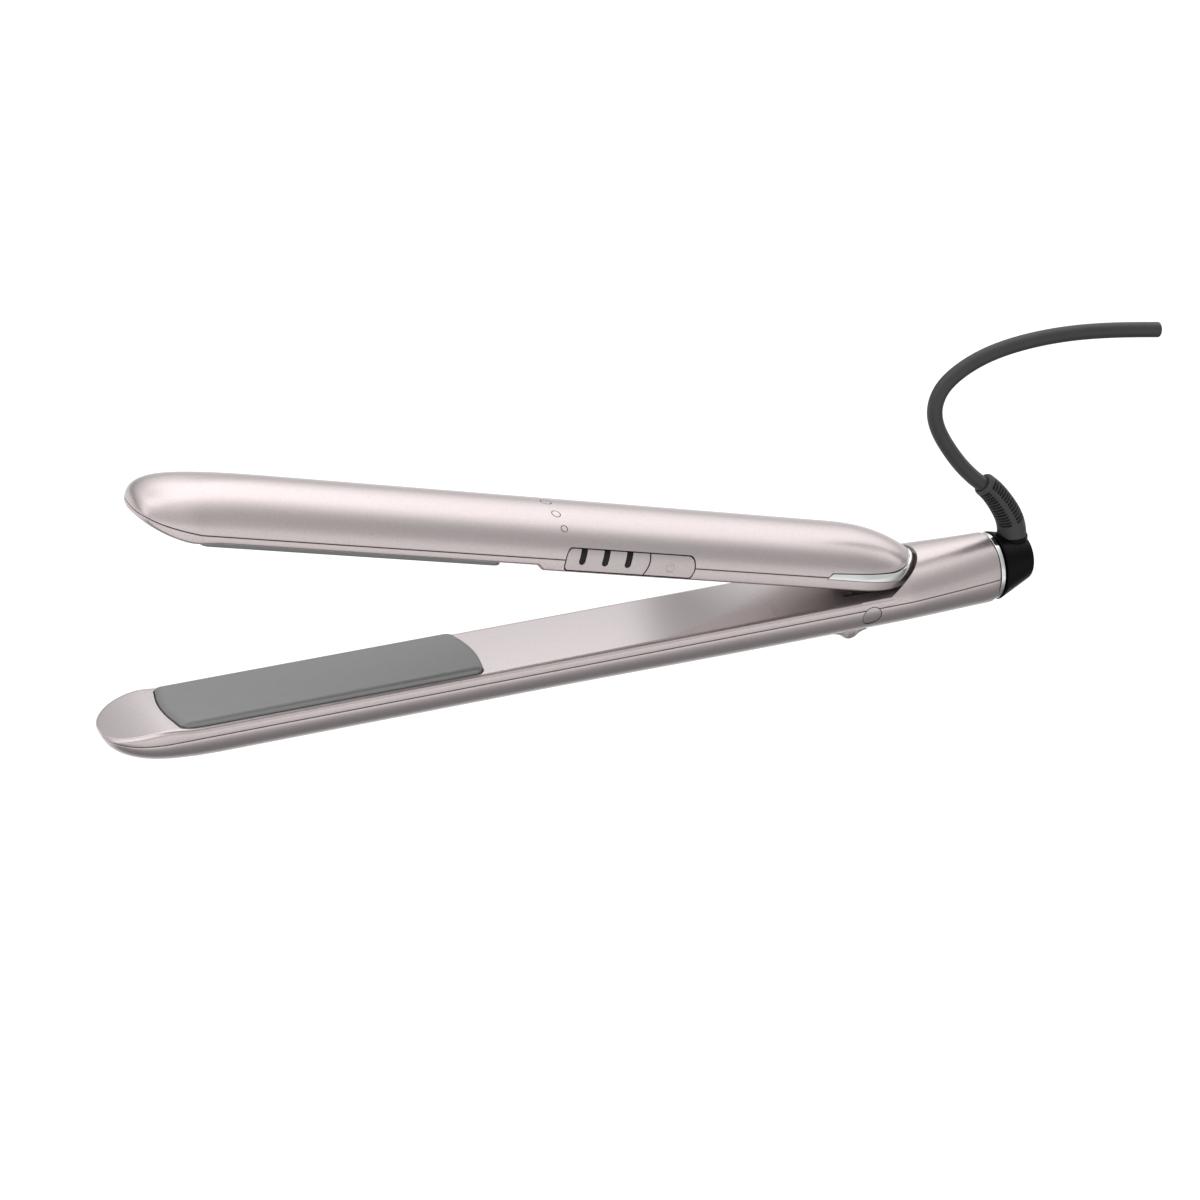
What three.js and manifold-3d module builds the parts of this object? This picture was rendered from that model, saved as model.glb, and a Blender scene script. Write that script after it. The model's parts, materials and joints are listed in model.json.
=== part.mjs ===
// Hair straightener (flat iron) with two hinged arms, floating heating plates, two side keys,
// a thumb lock, and a cord that leaves through a swivel head.
// Millimetres, +Z up. +X runs to the cord end, -Y is the key side. The lower arm lies level.
// Everything is drawn about the centre of the hinge pin, and the upper arm is drawn closed and then
// turned open as one group. The whole is then placed with its origin at the middle of the flat land
// under the lower arm.
import * as THREE from 'three';
import { mergeVertices } from 'three/addons/utils/BufferGeometryUtils.js';
import Module from 'manifold-3d';

const wasm = await Module();
wasm.setup();

// ---- driving dimensions ----
const HALF_WIDTH = 15;            // both arms
const OPEN_ANGLE = THREE.MathUtils.degToRad(13.95);
const CLOSING_Z = 7.53;           // plane midway between the closed plates
const GAP = 0.3;                  // clearance between fitted pieces
const SEAM = 0.15;                // each side of a parting line
const WALL = 1.7;                 // outer shells
const COVER_WALL = 1.4;           // inner covers

const LOWER_SEAM_Z = 2.85;
const LOWER_FACE_Z = 5.3;
const BELLY_DEPTH = 10.25;
const REST_FROM = -198;           // flat land along the belly
const REST_TO = -14;
const REST_Z = -7.3;
const UPPER_SEAM_Z = 12.1;
const UPPER_FACE_Z = 2 * CLOSING_Z - LOWER_FACE_Z;
const HANDLE_FACE_Z = 8.15;       // underside of the upper handle
const CROWN_Z = 23.9;             // highest line of the upper arm, at its front

const TIP_START = -214;
const LOWER_TIP_LENGTH = 18.6;
const UPPER_TIP_LENGTH = 16.7;
const TIP_POWER = 2.5;
const TAIL_START = 14;
const TAIL_END = 47;
const TAIL_RADIUS = 10.6;
const TAIL_AXIS_Z = 2.2;
const NOSE_START = -8;            // rear nose of the upper arm
const NOSE_LENGTH = 25.2;
const NOSE_POWER = 2.4;

const PLATE_FRONT = -215.5;
const PLATE_BACK = -120.5;
const PLATE_HALF = 13;
const PLATE_BOW = 34;             // radius of the convex ends
const PLATE_CORNER = 1.7;
const PLATE_FACE_Z = 7.3;
const PLATE_BOTTOM_Z = 4.7;
const PLATE_ROOM = 0.45;          // around a plate in its opening

const KEY_INNER_Y = -13;
const WINDOW_X = [-99.7, -92.4, -85.1];

const PIN_RADIUS = 1.5;
const CAP_RADIUS = 3.3;

// ---- colours and finishes ----
const finish = (colour, roughness, metalness) => ({ color: colour, roughness, metalness });
const LOOK = {
  paint: finish(0xc3b6b5, 0.32, 0.75),
  innerPaint: finish(0xb9adab, 0.22, 0.75),
  keyPaint: finish(0xcfc4c3, 0.35, 0.7),
  plate: finish(0x8b8d8c, 0.38, 0.35),
  chrome: finish(0xe6e6e6, 0.06, 1),
  black: finish(0x1b1b1c, 0.4, 0),
  window: finish(0x101012, 0.12, 0),
  rubber: finish(0x3c3c3d, 0.75, 0),
  cord: finish(0x2c2d2e, 0.6, 0),
  steel: finish(0x9a9ca0, 0.35, 1),
  springSteel: finish(0x6f7276, 0.4, 1),
  tray: finish(0x2a2623, 0.7, 0),
  ceramic: finish(0xe8e2d2, 0.6, 0),
  board: finish(0x1e5a37, 0.5, 0),
  led: finish(0xf2efe6, 0.3, 0),
  liveSleeve: finish(0x6d4427, 0.5, 0),
  neutralSleeve: finish(0x2f5f96, 0.5, 0),
};

// ---- solids ----
function toSolid(geometry) {
  const bare = geometry.clone();
  bare.deleteAttribute('normal');
  bare.deleteAttribute('uv');
  const merged = mergeVertices(bare, 1e-4);
  return new wasm.Manifold(new wasm.Mesh({
    numProp: 3,
    vertProperties: new Float32Array(merged.attributes.position.array),
    triVerts: new Uint32Array(merged.index.array),
  }));
}

function toGeometry(solid) {
  const mesh = solid.getMesh();
  const geometry = new THREE.BufferGeometry();
  geometry.setAttribute('position', new THREE.BufferAttribute(mesh.vertProperties, 3));
  geometry.setIndex(new THREE.BufferAttribute(mesh.triVerts, 1));
  return geometry;
}

const join = (first, ...rest) => rest.reduce((sum, next) => sum.add(next), first);
const cut = (first, ...rest) => rest.reduce((left, next) => left.subtract(next), first);

// A closed body through a row of rings with the same number of points, each end capped.
function loft(rings) {
  const count = rings[0].length;
  const index = [];
  for (let r = 0; r < rings.length - 1; r += 1) {
    for (let i = 0; i < count; i += 1) {
      const a = r * count + i;
      const b = r * count + (i + 1) % count;
      index.push(a, b, b + count, a, b + count, a + count);
    }
  }
  const last = (rings.length - 1) * count;
  for (let i = 1; i < count - 1; i += 1) {
    index.push(0, i + 1, i, last, last + i, last + i + 1);
  }
  const points = rings.flat();
  if (loftVolume(points, index) < 0) index.reverse();
  const geometry = new THREE.BufferGeometry().setFromPoints(points);
  geometry.setIndex(index);
  return toSolid(geometry);
}

function loftVolume(points, index) {
  let volume = 0;
  for (let i = 0; i < index.length; i += 3) {
    const [a, b, c] = index.slice(i, i + 3).map((k) => points[k]);
    volume += a.dot(b.clone().cross(c));
  }
  return volume;
}

function box(x0, x1, y0, y1, z0, z1) {
  const geometry = new THREE.BoxGeometry(x1 - x0, y1 - y0, z1 - z0);
  return toSolid(geometry.translate((x0 + x1) / 2, (y0 + y1) / 2, (z0 + z1) / 2));
}

// A straight round bar from one end centre to the other; the far radius may differ.
function rod(from, to, radius, sides = 16, farRadius = radius) {
  const axis = new THREE.Vector3().subVectors(to, from);
  const geometry = new THREE.CylinderGeometry(farRadius, radius, axis.length(), sides);
  const turn = new THREE.Quaternion().setFromUnitVectors(
    new THREE.Vector3(0, 1, 0),
    axis.clone().normalize(),
  );
  geometry.applyQuaternion(turn);
  geometry.translate(...from.clone().addScaledVector(axis, 0.5).toArray());
  return toSolid(geometry);
}

// A flat outline in X and Z, given thickness along Y.
function sideExtrude(shape, y0, y1) {
  const geometry = new THREE.ExtrudeGeometry(shape, {
    depth: y1 - y0, bevelEnabled: false, curveSegments: 8,
  });
  geometry.rotateX(Math.PI / 2);
  return toSolid(geometry.translate(0, y1, 0));
}

// A flat outline in X and Y, given height along Z.
function planExtrude(shape, z0, z1) {
  const geometry = new THREE.ExtrudeGeometry(shape, { depth: z1 - z0, bevelEnabled: false });
  return toSolid(geometry.translate(0, 0, z0));
}

function polygon(pairs) {
  return new THREE.Shape(pairs.map(([a, b]) => new THREE.Vector2(a, b)));
}

function circle(radius, sides, centreX = 0, centreY = 0) {
  const points = [];
  for (let i = 0; i < sides; i += 1) {
    const angle = (2 * Math.PI * i) / sides;
    points.push([centreX + radius * Math.cos(angle), centreY + radius * Math.sin(angle)]);
  }
  return polygon(points);
}

function tube(path, radius, steps, sides) {
  return toSolid(new THREE.ExtrudeGeometry(circle(radius, sides), {
    steps, bevelEnabled: false, extrudePath: path,
  }));
}

const smoothPath = (points) => new THREE.CatmullRomCurve3(
  points.map((p) => new THREE.Vector3(...p)),
  false,
  'centripetal',
);

const at = (x, y, z) => new THREE.Vector3(x, y, z);

// The upper arm's plate parts are the lower ones reflected in the closing plane.
const reflect = (solid) => solid.mirror([0, 0, 1]).translate([0, 0, 2 * CLOSING_Z]);

// ---- the outline of the arms ----
const fade = (t) => {
  const s = THREE.MathUtils.clamp(t, 0, 1);
  return s * s * (3 - 2 * s);
};
const roundEnd = (t, power) => (1 - Math.min(Math.max(t, 0), 1) ** power) ** (1 / power);
const lowerTip = (x) => Math.max(0, (TIP_START - x) / LOWER_TIP_LENGTH);
const upperTip = (x) => Math.max(0, (TIP_START - x) / UPPER_TIP_LENGTH);
const tailShare = (x) => Math.max(0, (x - TAIL_START) / (TAIL_END - TAIL_START));

function lowerHalfWidth(x) {
  const taper = (HALF_WIDTH - TAIL_RADIUS) * tailShare(x) ** 1.1;
  return HALF_WIDTH * roundEnd(lowerTip(x), TIP_POWER) - taper;
}
const lowerSeamZ = (x) => LOWER_SEAM_Z - (LOWER_SEAM_Z - TAIL_AXIS_Z) * tailShare(x);
function bellyDepth(x) {
  const share = (-200 - x) / 32.4;
  return BELLY_DEPTH * roundEnd(share, 2.1) + 0.35 * tailShare(x);
}
function lowerFaceZ(x) {
  const rise = 1.2 * fade((-207 - x) / 10);
  const fall = x < -217 ? 3.2 * ((-217 - x) / 15.4) ** 1.6 : 0;
  return LOWER_FACE_Z + rise - fall;
}
const tailCrown = (x) => 9.95 + 0.7 * tailShare(x) ** 3;

function upperHalfWidth(x, length = NOSE_LENGTH) {
  const tip = roundEnd(upperTip(x), TIP_POWER);
  return HALF_WIDTH * tip * roundEnd((x - NOSE_START) / length, NOSE_POWER);
}
const upperSeamZ = (x) => UPPER_SEAM_Z + 2.2 * upperTip(x);
function crownZ(x) {
  if (x < -190) return 14.6 + 9.3 * roundEnd((-190 - x) / 40.7, 3.3);
  const droop = 6.3 * Math.max(0, (x + 30) / 47) ** 1.86;
  return CROWN_Z - 0.0045 * (x + 190) - droop;
}
function upperFaceZ(x) {
  const tip = x < -207 ? (UPPER_FACE_Z - 0.9 * fade((-207 - x) / 10)) : UPPER_FACE_Z;
  const lifted = tip + 5.1 * upperTip(x) ** 1.6;
  const step = (UPPER_FACE_Z - HANDLE_FACE_Z) * fade((x + 113) / 2.5);
  const rear = 2.4 * Math.max(0, (x + 3) / 23) ** 1.6;
  return lifted - step + rear;
}

const TIP_SHARES = [0.995, 0.97, 0.9, 0.78, 0.6, 0.35, 0.12];
const tipStations = (length) => TIP_SHARES.map((share) => TIP_START - share * length);
const LOWER_TIP = tipStations(LOWER_TIP_LENGTH);
const UPPER_TIP = tipStations(UPPER_TIP_LENGTH);
const noseStations = (length, shares) => shares.map((share) => NOSE_START + share * length);
const NOSE_SHARES = [0, 0.3, 0.52, 0.7, 0.84, 0.94, 0.99];

// Half an ellipse hanging from, or standing on, the parting line.
function archRing(x, halfWidth, seamZ, height, segments = 12) {
  const ring = [];
  for (let i = 0; i <= segments; i += 1) {
    const angle = (Math.PI * i) / segments;
    ring.push(at(x, halfWidth * Math.cos(angle), seamZ + height * Math.sin(angle)));
  }
  return ring;
}

// A flat-faced section with rounded folds along its two sides.
function slabRing(x, halfWidth, seamZ, faceZ, fold = 1.3) {
  const side = Math.sign(faceZ - seamZ);
  const r = Math.min(fold, halfWidth * 0.5, Math.abs(faceZ - seamZ) * 0.8);
  const half = [[halfWidth, seamZ]];
  for (let i = 0; i <= 3; i += 1) {
    const angle = (Math.PI * i) / 6;
    half.push([
      halfWidth - r + r * Math.cos(angle),
      faceZ - side * r + side * r * Math.sin(angle),
    ]);
  }
  const other = half.map(([y, z]) => [-y, z]).reverse();
  return [...half, ...other].map(([y, z]) => at(x, y, z));
}

// ---- plates ----
// Plan of a heating plate: long straight sides, convex ends, rounded corners.
function plateOutline(inset) {
  const bow = (y) => PLATE_BOW - Math.sqrt(PLATE_BOW * PLATE_BOW - y * y);
  const centreY = PLATE_HALF - PLATE_CORNER;
  const centreX = -bow(PLATE_HALF) - 1;
  const corner = [90, 55, 20].map((degrees) => {
    const angle = THREE.MathUtils.degToRad(degrees);
    const radius = PLATE_CORNER - inset;
    return [centreX + radius * Math.cos(angle), centreY + radius * Math.sin(angle)];
  });
  const end = [8, 4, 0].map((y) => [-inset - bow(y), y]);
  const quarter = [...corner, ...end];
  const mirrored = quarter.slice(0, -1).map(([x, y]) => [x, -y]).reverse();
  const back = [...quarter, ...mirrored];
  const front = back.map(([x, y]) => [PLATE_FRONT - x, -y]);
  return [...back.map(([x, y]) => [PLATE_BACK + x, y]), ...front];
}
const plateRing = (inset, z) => plateOutline(inset).map(([x, y]) => at(x, y, z));
const platePrism = (inset, z0, z1) => loft([plateRing(inset, z0), plateRing(inset, z1)]);

function heatingPlate() {
  const slab = loft([
    plateRing(0, PLATE_BOTTOM_Z),
    plateRing(0, PLATE_FACE_Z - 1.1),
    plateRing(0.35, PLATE_FACE_Z - 0.45),
    plateRing(1.3, PLATE_FACE_Z),
  ]);
  const rails = [-1, 1].map((side) => box(
    -203, -132,
    side * 8.1 - 0.6, side * 8.1 + 0.6,
    1.9, PLATE_BOTTOM_Z + 0.5,
  ));
  return join(slab, ...rails);
}

const heater = () => box(-198, -137, -6.8, 6.8, 2.7, PLATE_BOTTOM_Z - 0.15);

function heaterClip() {
  const strap = box(-196, -139, -7.2, 7.2, 2.1, 2.5);
  const slots = [-180, -155].map((x) => box(x - 7, x + 7, -3, 3, 1.5, 3));
  return cut(strap, ...slots);
}

const thermistor = () => toSolid(
  new THREE.SphereGeometry(0.8, 10, 6).scale(1.4, 1, 0.8).translate(-135, 0, 3.6),
);

const SCREW_X = [-196, -138];
const SPRING_X = [-204, -130];

function plateCarrier() {
  const floor = box(-207, -127, -11, 11, -0.6, 0.7);
  const guides = [-1, 1].map((side) => box(
    -204, -130,
    side * 10.2 - 0.6, side * 10.2 + 0.6,
    0.5, 3.4,
  ));
  const bosses = SCREW_X.map((x) => rod(at(x, 0, -5.2), at(x, 0, -0.4), 2.6));
  const holes = SCREW_X.map((x) => rod(at(x, 0, -6), at(x, 0, 1), 1.2, 12));
  const seats = SCREW_X.map((x) => rod(at(x, 0, -0.25), at(x, 0, 1), 2.35, 12));
  const windows = [-180, -155].map((x) => box(x - 8, x + 8, -6, 6, -1, 1));
  return cut(join(floor, ...guides, ...bosses), ...holes, ...seats, ...windows);
}

function carrierScrew(x) {
  const head = rod(at(x, 0, -0.15), at(x, 0, 0.6), 2, 12);
  const shank = rod(at(x, 0, -4.9), at(x, 0, 0), 0.9, 10);
  const drive = box(x - 1.2, x + 1.2, -0.3, 0.3, 0.25, 1);
  return cut(join(head, shank), drive);
}

// A coil about an axis through the origin of its own frame, turned by the caller.
function coil(radius, wire, turns, length) {
  const points = [];
  const count = Math.round(turns * 8);
  for (let i = 0; i <= count; i += 1) {
    const angle = (2 * Math.PI * turns * i) / count;
    const along = (length * i) / count;
    points.push([radius * Math.cos(angle), radius * Math.sin(angle), along]);
  }
  return tube(smoothPath(points), wire, count, 4);
}

const floatSpring = (x) => coil(1.6, 0.3, 3, 3.0).translate([x, 0, 1.1]);

// ---- lower arm ----
const HANDLE_STATIONS = [TIP_START, -204, -120, -60, 0, TAIL_START];
const TAIL_STATIONS = [22, 30, 38, TAIL_END];

function lowerArch(stations, inset, seamShift) {
  return loft(stations.map((x) => archRing(
    x,
    lowerHalfWidth(x) - inset,
    lowerSeamZ(x) + seamShift,
    inset - bellyDepth(x) - seamShift,
  )));
}

const lowerBody = () => lowerArch(
  [...LOWER_TIP, ...HANDLE_STATIONS, ...TAIL_STATIONS],
  0, -SEAM,
);

function capHole(side) {
  return rod(at(0, side * 11.5, 0), at(0, side * 17, 0), CAP_RADIUS + 0.25, 24);
}

function lowerOuterShell() {
  const hollow = lowerArch(
    [...LOWER_TIP.slice(2), ...HANDLE_STATIONS, 22, 30, 38, TAIL_END + 1],
    WALL, 0.5,
  );
  const restLand = box(REST_FROM, REST_TO, -8, 8, -10, REST_Z);
  const lockSlot = box(-9, 1.6, -2, 2, -9, -4);
  return cut(lowerBody(), hollow, restLand, lockSlot, capHole(-1), capHole(1));
}

// Plan of a rear nose: straight sides, then a rounded end.
function nosePlan(halfWidth, length, startX, frontX, power = NOSE_POWER) {
  const shares = [0, 0.2, 0.38, 0.54, 0.68, 0.79, 0.88, 0.94, 0.98, 1];
  const near = shares.map((share) => [
    startX + share * length,
    halfWidth * roundEnd(share, power),
  ]);
  const far = near.slice(0, -1).map(([x, y]) => [x, -y]).reverse();
  return polygon([[frontX, halfWidth], ...near, ...far, [frontX, -halfWidth]]);
}

function lowerInnerCover() {
  const slab = (stations, inset, seamShift, faceShift) => loft(stations.map((x) => slabRing(
    x,
    lowerHalfWidth(x) - inset,
    lowerSeamZ(x) + seamShift,
    lowerFaceZ(x) - faceShift,
  )));
  const dome = (stations, inset) => loft(stations.map((x) => archRing(
    x,
    lowerHalfWidth(x) - inset,
    lowerSeamZ(x) + (inset ? -1 : SEAM),
    tailCrown(x) - inset + (inset ? 1 : -SEAM),
  )));
  const noseRoom = (grow) => planExtrude(
    nosePlan(HALF_WIDTH + 0.3 + grow, 22.9 + grow, 0, -12, 2),
    LOWER_FACE_Z - grow, 30,
  );
  const lid = slab([...LOWER_TIP, TIP_START, -207, -204, -120, 8], 0, SEAM, 0);
  const tailTop = cut(dome([-3, 6, ...TAIL_STATIONS.slice(0, 3), TAIL_END], 0), noseRoom(0));
  const lidHollow = slab([...LOWER_TIP.slice(2), TIP_START, -207, -204, -120, 6],
    COVER_WALL, -1, COVER_WALL);
  const tailHollow = cut(
    dome([4, 14, ...TAIL_STATIONS.slice(0, 3), TAIL_END + 1], WALL),
    noseRoom(COVER_WALL),
  );
  const underTail = slab([3, 14, 24], COVER_WALL, -1, COVER_WALL);
  const yokeSlots = [-1, 1].map((side) => box(
    -5.7, 5.7,
    side * 7.8 - 1.2, side * 7.8 + 1.2,
    0, 9,
  ));
  return cut(
    join(lid, tailTop),
    lidHollow, tailHollow, underTail,
    platePrism(-PLATE_ROOM, 1, 12),
    ...yokeSlots,
    capHole(-1), capHole(1),
  );
}

// ---- upper arm, drawn closed ----
function upperArch(stations, inset, seamShift) {
  return loft(stations.map((x) => archRing(
    x,
    upperHalfWidth(x) - inset,
    upperSeamZ(x) + seamShift,
    crownZ(x) - upperSeamZ(x) - inset - seamShift,
  )));
}

const REAR_NOSE = noseStations(NOSE_LENGTH, NOSE_SHARES);
const upperBody = () => upperArch(
  [...UPPER_TIP, TIP_START, -204, -190, -120, -60, -30, -18, ...REAR_NOSE],
  0, SEAM,
);

// Side view of the chrome band that wraps the rear nose.
const trimProfile = (grow) => sideExtrude(polygon([
  [-18.3 - grow, 11.85 - grow],
  [21 + grow, 11.6 - grow],
  [21 + grow, 17 + grow],
  [2.3, 14.8 + grow],
  [-16.8 - grow, 13.3 + grow],
]), -20, 20);

function chromeTrim() {
  const outer = planExtrude(nosePlan(15.15, NOSE_LENGTH + 1.4, NOSE_START, -20), 8, 20);
  const inner = planExtrude(nosePlan(12.9, NOSE_LENGTH + 0.3, NOSE_START, -22), 7, 21);
  return cut(outer.intersect(trimProfile(0)), inner);
}

// Outline of a key or of the opening around both keys, in X and Z.
function keyOutline(x0, x1, leftBow, rightBow, grow) {
  const z0 = 9.3 - grow;
  const z1 = 15.5 + grow;
  const r = 1.6;
  const a = x0 - grow;
  const b = x1 + grow;
  const shape = new THREE.Shape();
  shape.moveTo(a + r, z0);
  shape.lineTo(b - r, z0);
  shape.quadraticCurveTo(b, z0, b + rightBow * 0.4, z0 + r);
  shape.quadraticCurveTo(b + rightBow, (z0 + z1) / 2, b + rightBow * 0.4, z1 - r);
  shape.quadraticCurveTo(b, z1, b - r, z1);
  shape.lineTo(a + r, z1);
  shape.quadraticCurveTo(a, z1, a + leftBow * 0.4, z1 - r);
  shape.quadraticCurveTo(a + leftBow, (z0 + z1) / 2, a + leftBow * 0.4, z0 + r);
  shape.quadraticCurveTo(a, z0, a + r, z0);
  return shape;
}

const KEY_LEFT = -104.6;
const KEY_SPLIT = -78.6;
const KEY_RIGHT = -63.2;
const SPLIT_BOW = 1.2;
const keyOpening = () => sideExtrude(keyOutline(KEY_LEFT, KEY_RIGHT, 0, 0, 0.35), -18, -11);

// Small round inlays across the crown: place along X, angle from the crown, radius.
const DOTS = {
  marker_dot_large: { x: -107.2, tilt: 0, radius: 1.6 },
  marker_dot_medium: { x: -106.5, tilt: 25, radius: 1.3 },
  marker_dot_small: { x: -105.3, tilt: 47, radius: 1.05 },
};

// The crown's section is an ellipse, so a point at an ellipse angle has a known normal.
function dotRod({ x, tilt, radius }, depth, height, shrink) {
  const angle = THREE.MathUtils.degToRad(tilt);
  const rise = crownZ(x) - UPPER_SEAM_Z;
  const foot = at(x, -HALF_WIDTH * Math.sin(angle), UPPER_SEAM_Z + rise * Math.cos(angle));
  const normal = at(0, -rise * Math.sin(angle), HALF_WIDTH * Math.cos(angle)).normalize();
  return rod(
    foot.clone().addScaledVector(normal, -depth),
    foot.clone().addScaledVector(normal, height),
    radius - shrink,
    16,
  );
}

const markerDot = (dot) => dotRod(dot, 0.75, 2, 0.15).intersect(upperBody());

function upperOuterShell() {
  const hollow = upperArch(
    [...UPPER_TIP.slice(2), TIP_START, -204, -190, -120, -60, -30, -18,
      ...REAR_NOSE.slice(0, 5)],
    WALL, -0.5,
  );
  const pockets = Object.values(DOTS).map((dot) => dotRod(dot, 0.9, 3, 0));
  return cut(upperBody(), hollow, trimProfile(0.25), keyOpening(), ...pockets);
}

const COVER_NOSE = 26.1;
const coverNose = (shares) => noseStations(COVER_NOSE, shares);

function upperSlab(stations, inset, seamShift, faceShift) {
  return loft(stations.map((x) => slabRing(
    x,
    upperHalfWidth(x, COVER_NOSE) - inset,
    upperSeamZ(x) + seamShift,
    upperFaceZ(x) + faceShift,
  )));
}

const COVER_STATIONS = [TIP_START, -207, -204, -120, -113, -111.8, -110.5, -60, -18];
const coverBody = () => upperSlab(
  [...UPPER_TIP, ...COVER_STATIONS, ...coverNose(NOSE_SHARES)],
  0, -SEAM, 0,
);

function upperInnerCover() {
  const hollow = upperSlab(
    [...UPPER_TIP.slice(2), ...COVER_STATIONS, ...coverNose(NOSE_SHARES.slice(0, 5))],
    COVER_WALL, 1, COVER_WALL,
  );
  const yokeSlots = [-1, 1].map((side) => box(
    -4.4, 4.4,
    side * 7.8 - 1.2, side * 7.8 + 1.2,
    5, 11,
  ));
  return cut(
    coverBody(), hollow,
    trimProfile(0.25), keyOpening(),
    reflect(platePrism(-PLATE_ROOM, 1, 12)),
    ...yokeSlots,
  );
}

// The keys carry on the surface of the side wall.
function keySolid(outline) {
  const wall = join(
    upperArch([-112, -56], 0, -SEAM),
    upperSlab([-110.5, -56], 0, SEAM, 0),
  );
  return wall.intersect(sideExtrude(outline, -18, KEY_INNER_Y));
}

function temperatureKey() {
  const slots = WINDOW_X.map((x) => box(x - 1.05, x + 1.05, -18, -12, 11.1, 17));
  return cut(keySolid(keyOutline(KEY_LEFT, KEY_SPLIT, 0, SPLIT_BOW, 0)), ...slots);
}

const powerKey = () => keySolid(
  keyOutline(KEY_SPLIT + 0.7, KEY_RIGHT, SPLIT_BOW, 0, 0),
);

function lightGuide() {
  const bar = box(-101.5, -83.3, -12.75, -12.25, 12.9, 14.6);
  const face = keySolid(keyOutline(KEY_LEFT, KEY_SPLIT, 0, 0, 0));
  const prongs = WINDOW_X.map((x) => join(
    face.intersect(box(x - 0.8, x + 0.8, -18, -12.9, 11.3, 15.1)),
    box(x - 0.8, x + 0.8, -13.2, -12.3, 12.9, 14.6),
  ));
  return join(bar, ...prongs);
}

function keyHolder() {
  const plate = box(-107, -60.5, -12.1, -11.3, 9.85, 15.6);
  return cut(plate, box(-104, -63.5, -13, -11, 10.4, 15.1));
}

function tactSwitch(x) {
  return join(
    box(x - 1.6, x + 1.6, -11.6, -10.1, 10.5, 12.5),
    rod(at(x, -11.7, 11.5), at(x, -12.3, 11.5), 0.7, 10),
    box(x - 1, x + 1, -11.75, -11.5, 10.9, 12.1),
  );
}

const indicatorLed = (x) => join(
  box(x - 0.8, x + 0.8, -10.8, -10.1, 13.1, 14.5),
  box(x - 0.5, x + 0.5, -11.1, -10.7, 13.4, 14.2),
);

// ---- hinge ----
// Side view of the yoke: an eye on the pin, an upright into the upper arm, and a finger
// that reaches forward to carry the catch bar for the lock.
function yokeEar(side) {
  const shape = new THREE.Shape();
  const eye = 2.6;
  shape.moveTo(-11.4, -1);
  shape.lineTo(-Math.sqrt(eye * eye - 1), -1);
  shape.absarc(0, 0, eye, Math.PI + Math.asin(1 / eye), 2 * Math.PI, false);
  shape.lineTo(3, 5);
  shape.lineTo(3, 10.6);
  shape.lineTo(-3, 10.6);
  shape.lineTo(-3, 2.4);
  shape.lineTo(-5, 0.7);
  shape.lineTo(-11.4, 0.7);
  shape.holes.push(circle(PIN_RADIUS + 0.2, 20));
  return sideExtrude(shape, side * 7.8 - 0.8, side * 7.8 + 0.8);
}

function hingeYoke() {
  const ears = [-1, 1].map(yokeEar);
  const catchBar = box(-11.4, -10.2, -8.2, 8.2, -1, 0);
  const base = box(-15, 6, -9.4, 9.4, 10.1, 11.3);
  return join(base, ...ears, catchBar);
}

function hingeBracket() {
  const shape = new THREE.Shape();
  const eye = 2.9;
  shape.moveTo(-2.2, -3.9);
  shape.lineTo(5, -3.9);
  shape.lineTo(5, -2.9);
  shape.lineTo(eye, 0);
  shape.absarc(0, 0, eye, 0, Math.PI, false);
  shape.lineTo(-2.2, -2.9);
  shape.holes.push(circle(PIN_RADIUS + 0.1, 20));
  const ears = [-1, 1].map((side) => sideExtrude(shape, side * 5.7 - 0.5, side * 5.7 + 0.5));
  return join(box(-2.2, 5, -6.2, 6.2, -3.9, -2.9), ...ears);
}

const hingePin = () => rod(at(0, -10.9, 0), at(0, 10.9, 0), PIN_RADIUS, 20);

function torsionSpring() {
  const points = [[-6.6, -4.3, -2.1]];
  const turns = 4.5;
  const count = turns * 8;
  for (let i = 0; i <= count; i += 1) {
    const angle = -Math.PI / 2 - (2 * Math.PI * turns * i) / count;
    points.push([
      2.1 * Math.cos(angle),
      -4.3 + (3.3 * i) / count,
      2.1 * Math.sin(angle),
    ]);
  }
  points.push([-2.6, -1, 2.3]);
  return tube(smoothPath(points), 0.33, count + 10, 5);
}

// The caps lie flush with the side of the arm and cross its parting line.
function pivotCap(side) {
  const stations = [-8, 8];
  const below = loft(stations.map((x) => archRing(x, HALF_WIDTH, LOWER_SEAM_Z, -BELLY_DEPTH)));
  const above = loft(stations.map((x) => slabRing(
    x, HALF_WIDTH, LOWER_SEAM_Z - SEAM, LOWER_FACE_Z,
  )));
  const plug = rod(at(0, side * 12.1, 0), at(0, side * 17, 0), CAP_RADIUS, 24);
  return plug.intersect(join(below, above));
}

// ---- lock ----
function lockSlider() {
  const profile = new THREE.Shape();
  profile.moveTo(-6.3, -7);
  profile.lineTo(-6.3, -7.7);
  profile.quadraticCurveTo(-3.5, -8, -2.7, -9.6);
  profile.quadraticCurveTo(-1.3, -10.9, 0.1, -9.6);
  profile.quadraticCurveTo(1.1, -8.2, 3.7, -7.8);
  profile.lineTo(3.7, -7);
  const clearOfBelly = loft([-16, 12].map((x) => archRing(
    x, HALF_WIDTH + GAP, LOWER_SEAM_Z, -(BELLY_DEPTH + GAP),
  )));
  const nub = cut(sideExtrude(profile, -5.5, 5.5), clearOfBelly);
  const stem = box(-3.2, 0.8, -1.6, 1.6, -8.3, -4.6);
  const runner = box(-4.3, 4, -2.2, 2.2, -5.2, -4.4);
  const upright = box(-4.3, -3.1, -2.2, 2.2, -4.6, 1.1);
  const hook = box(-7, -3.5, -2.2, 2.2, 0.4, 1.1);
  return join(nub, stem, runner, upright, hook);
}

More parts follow.
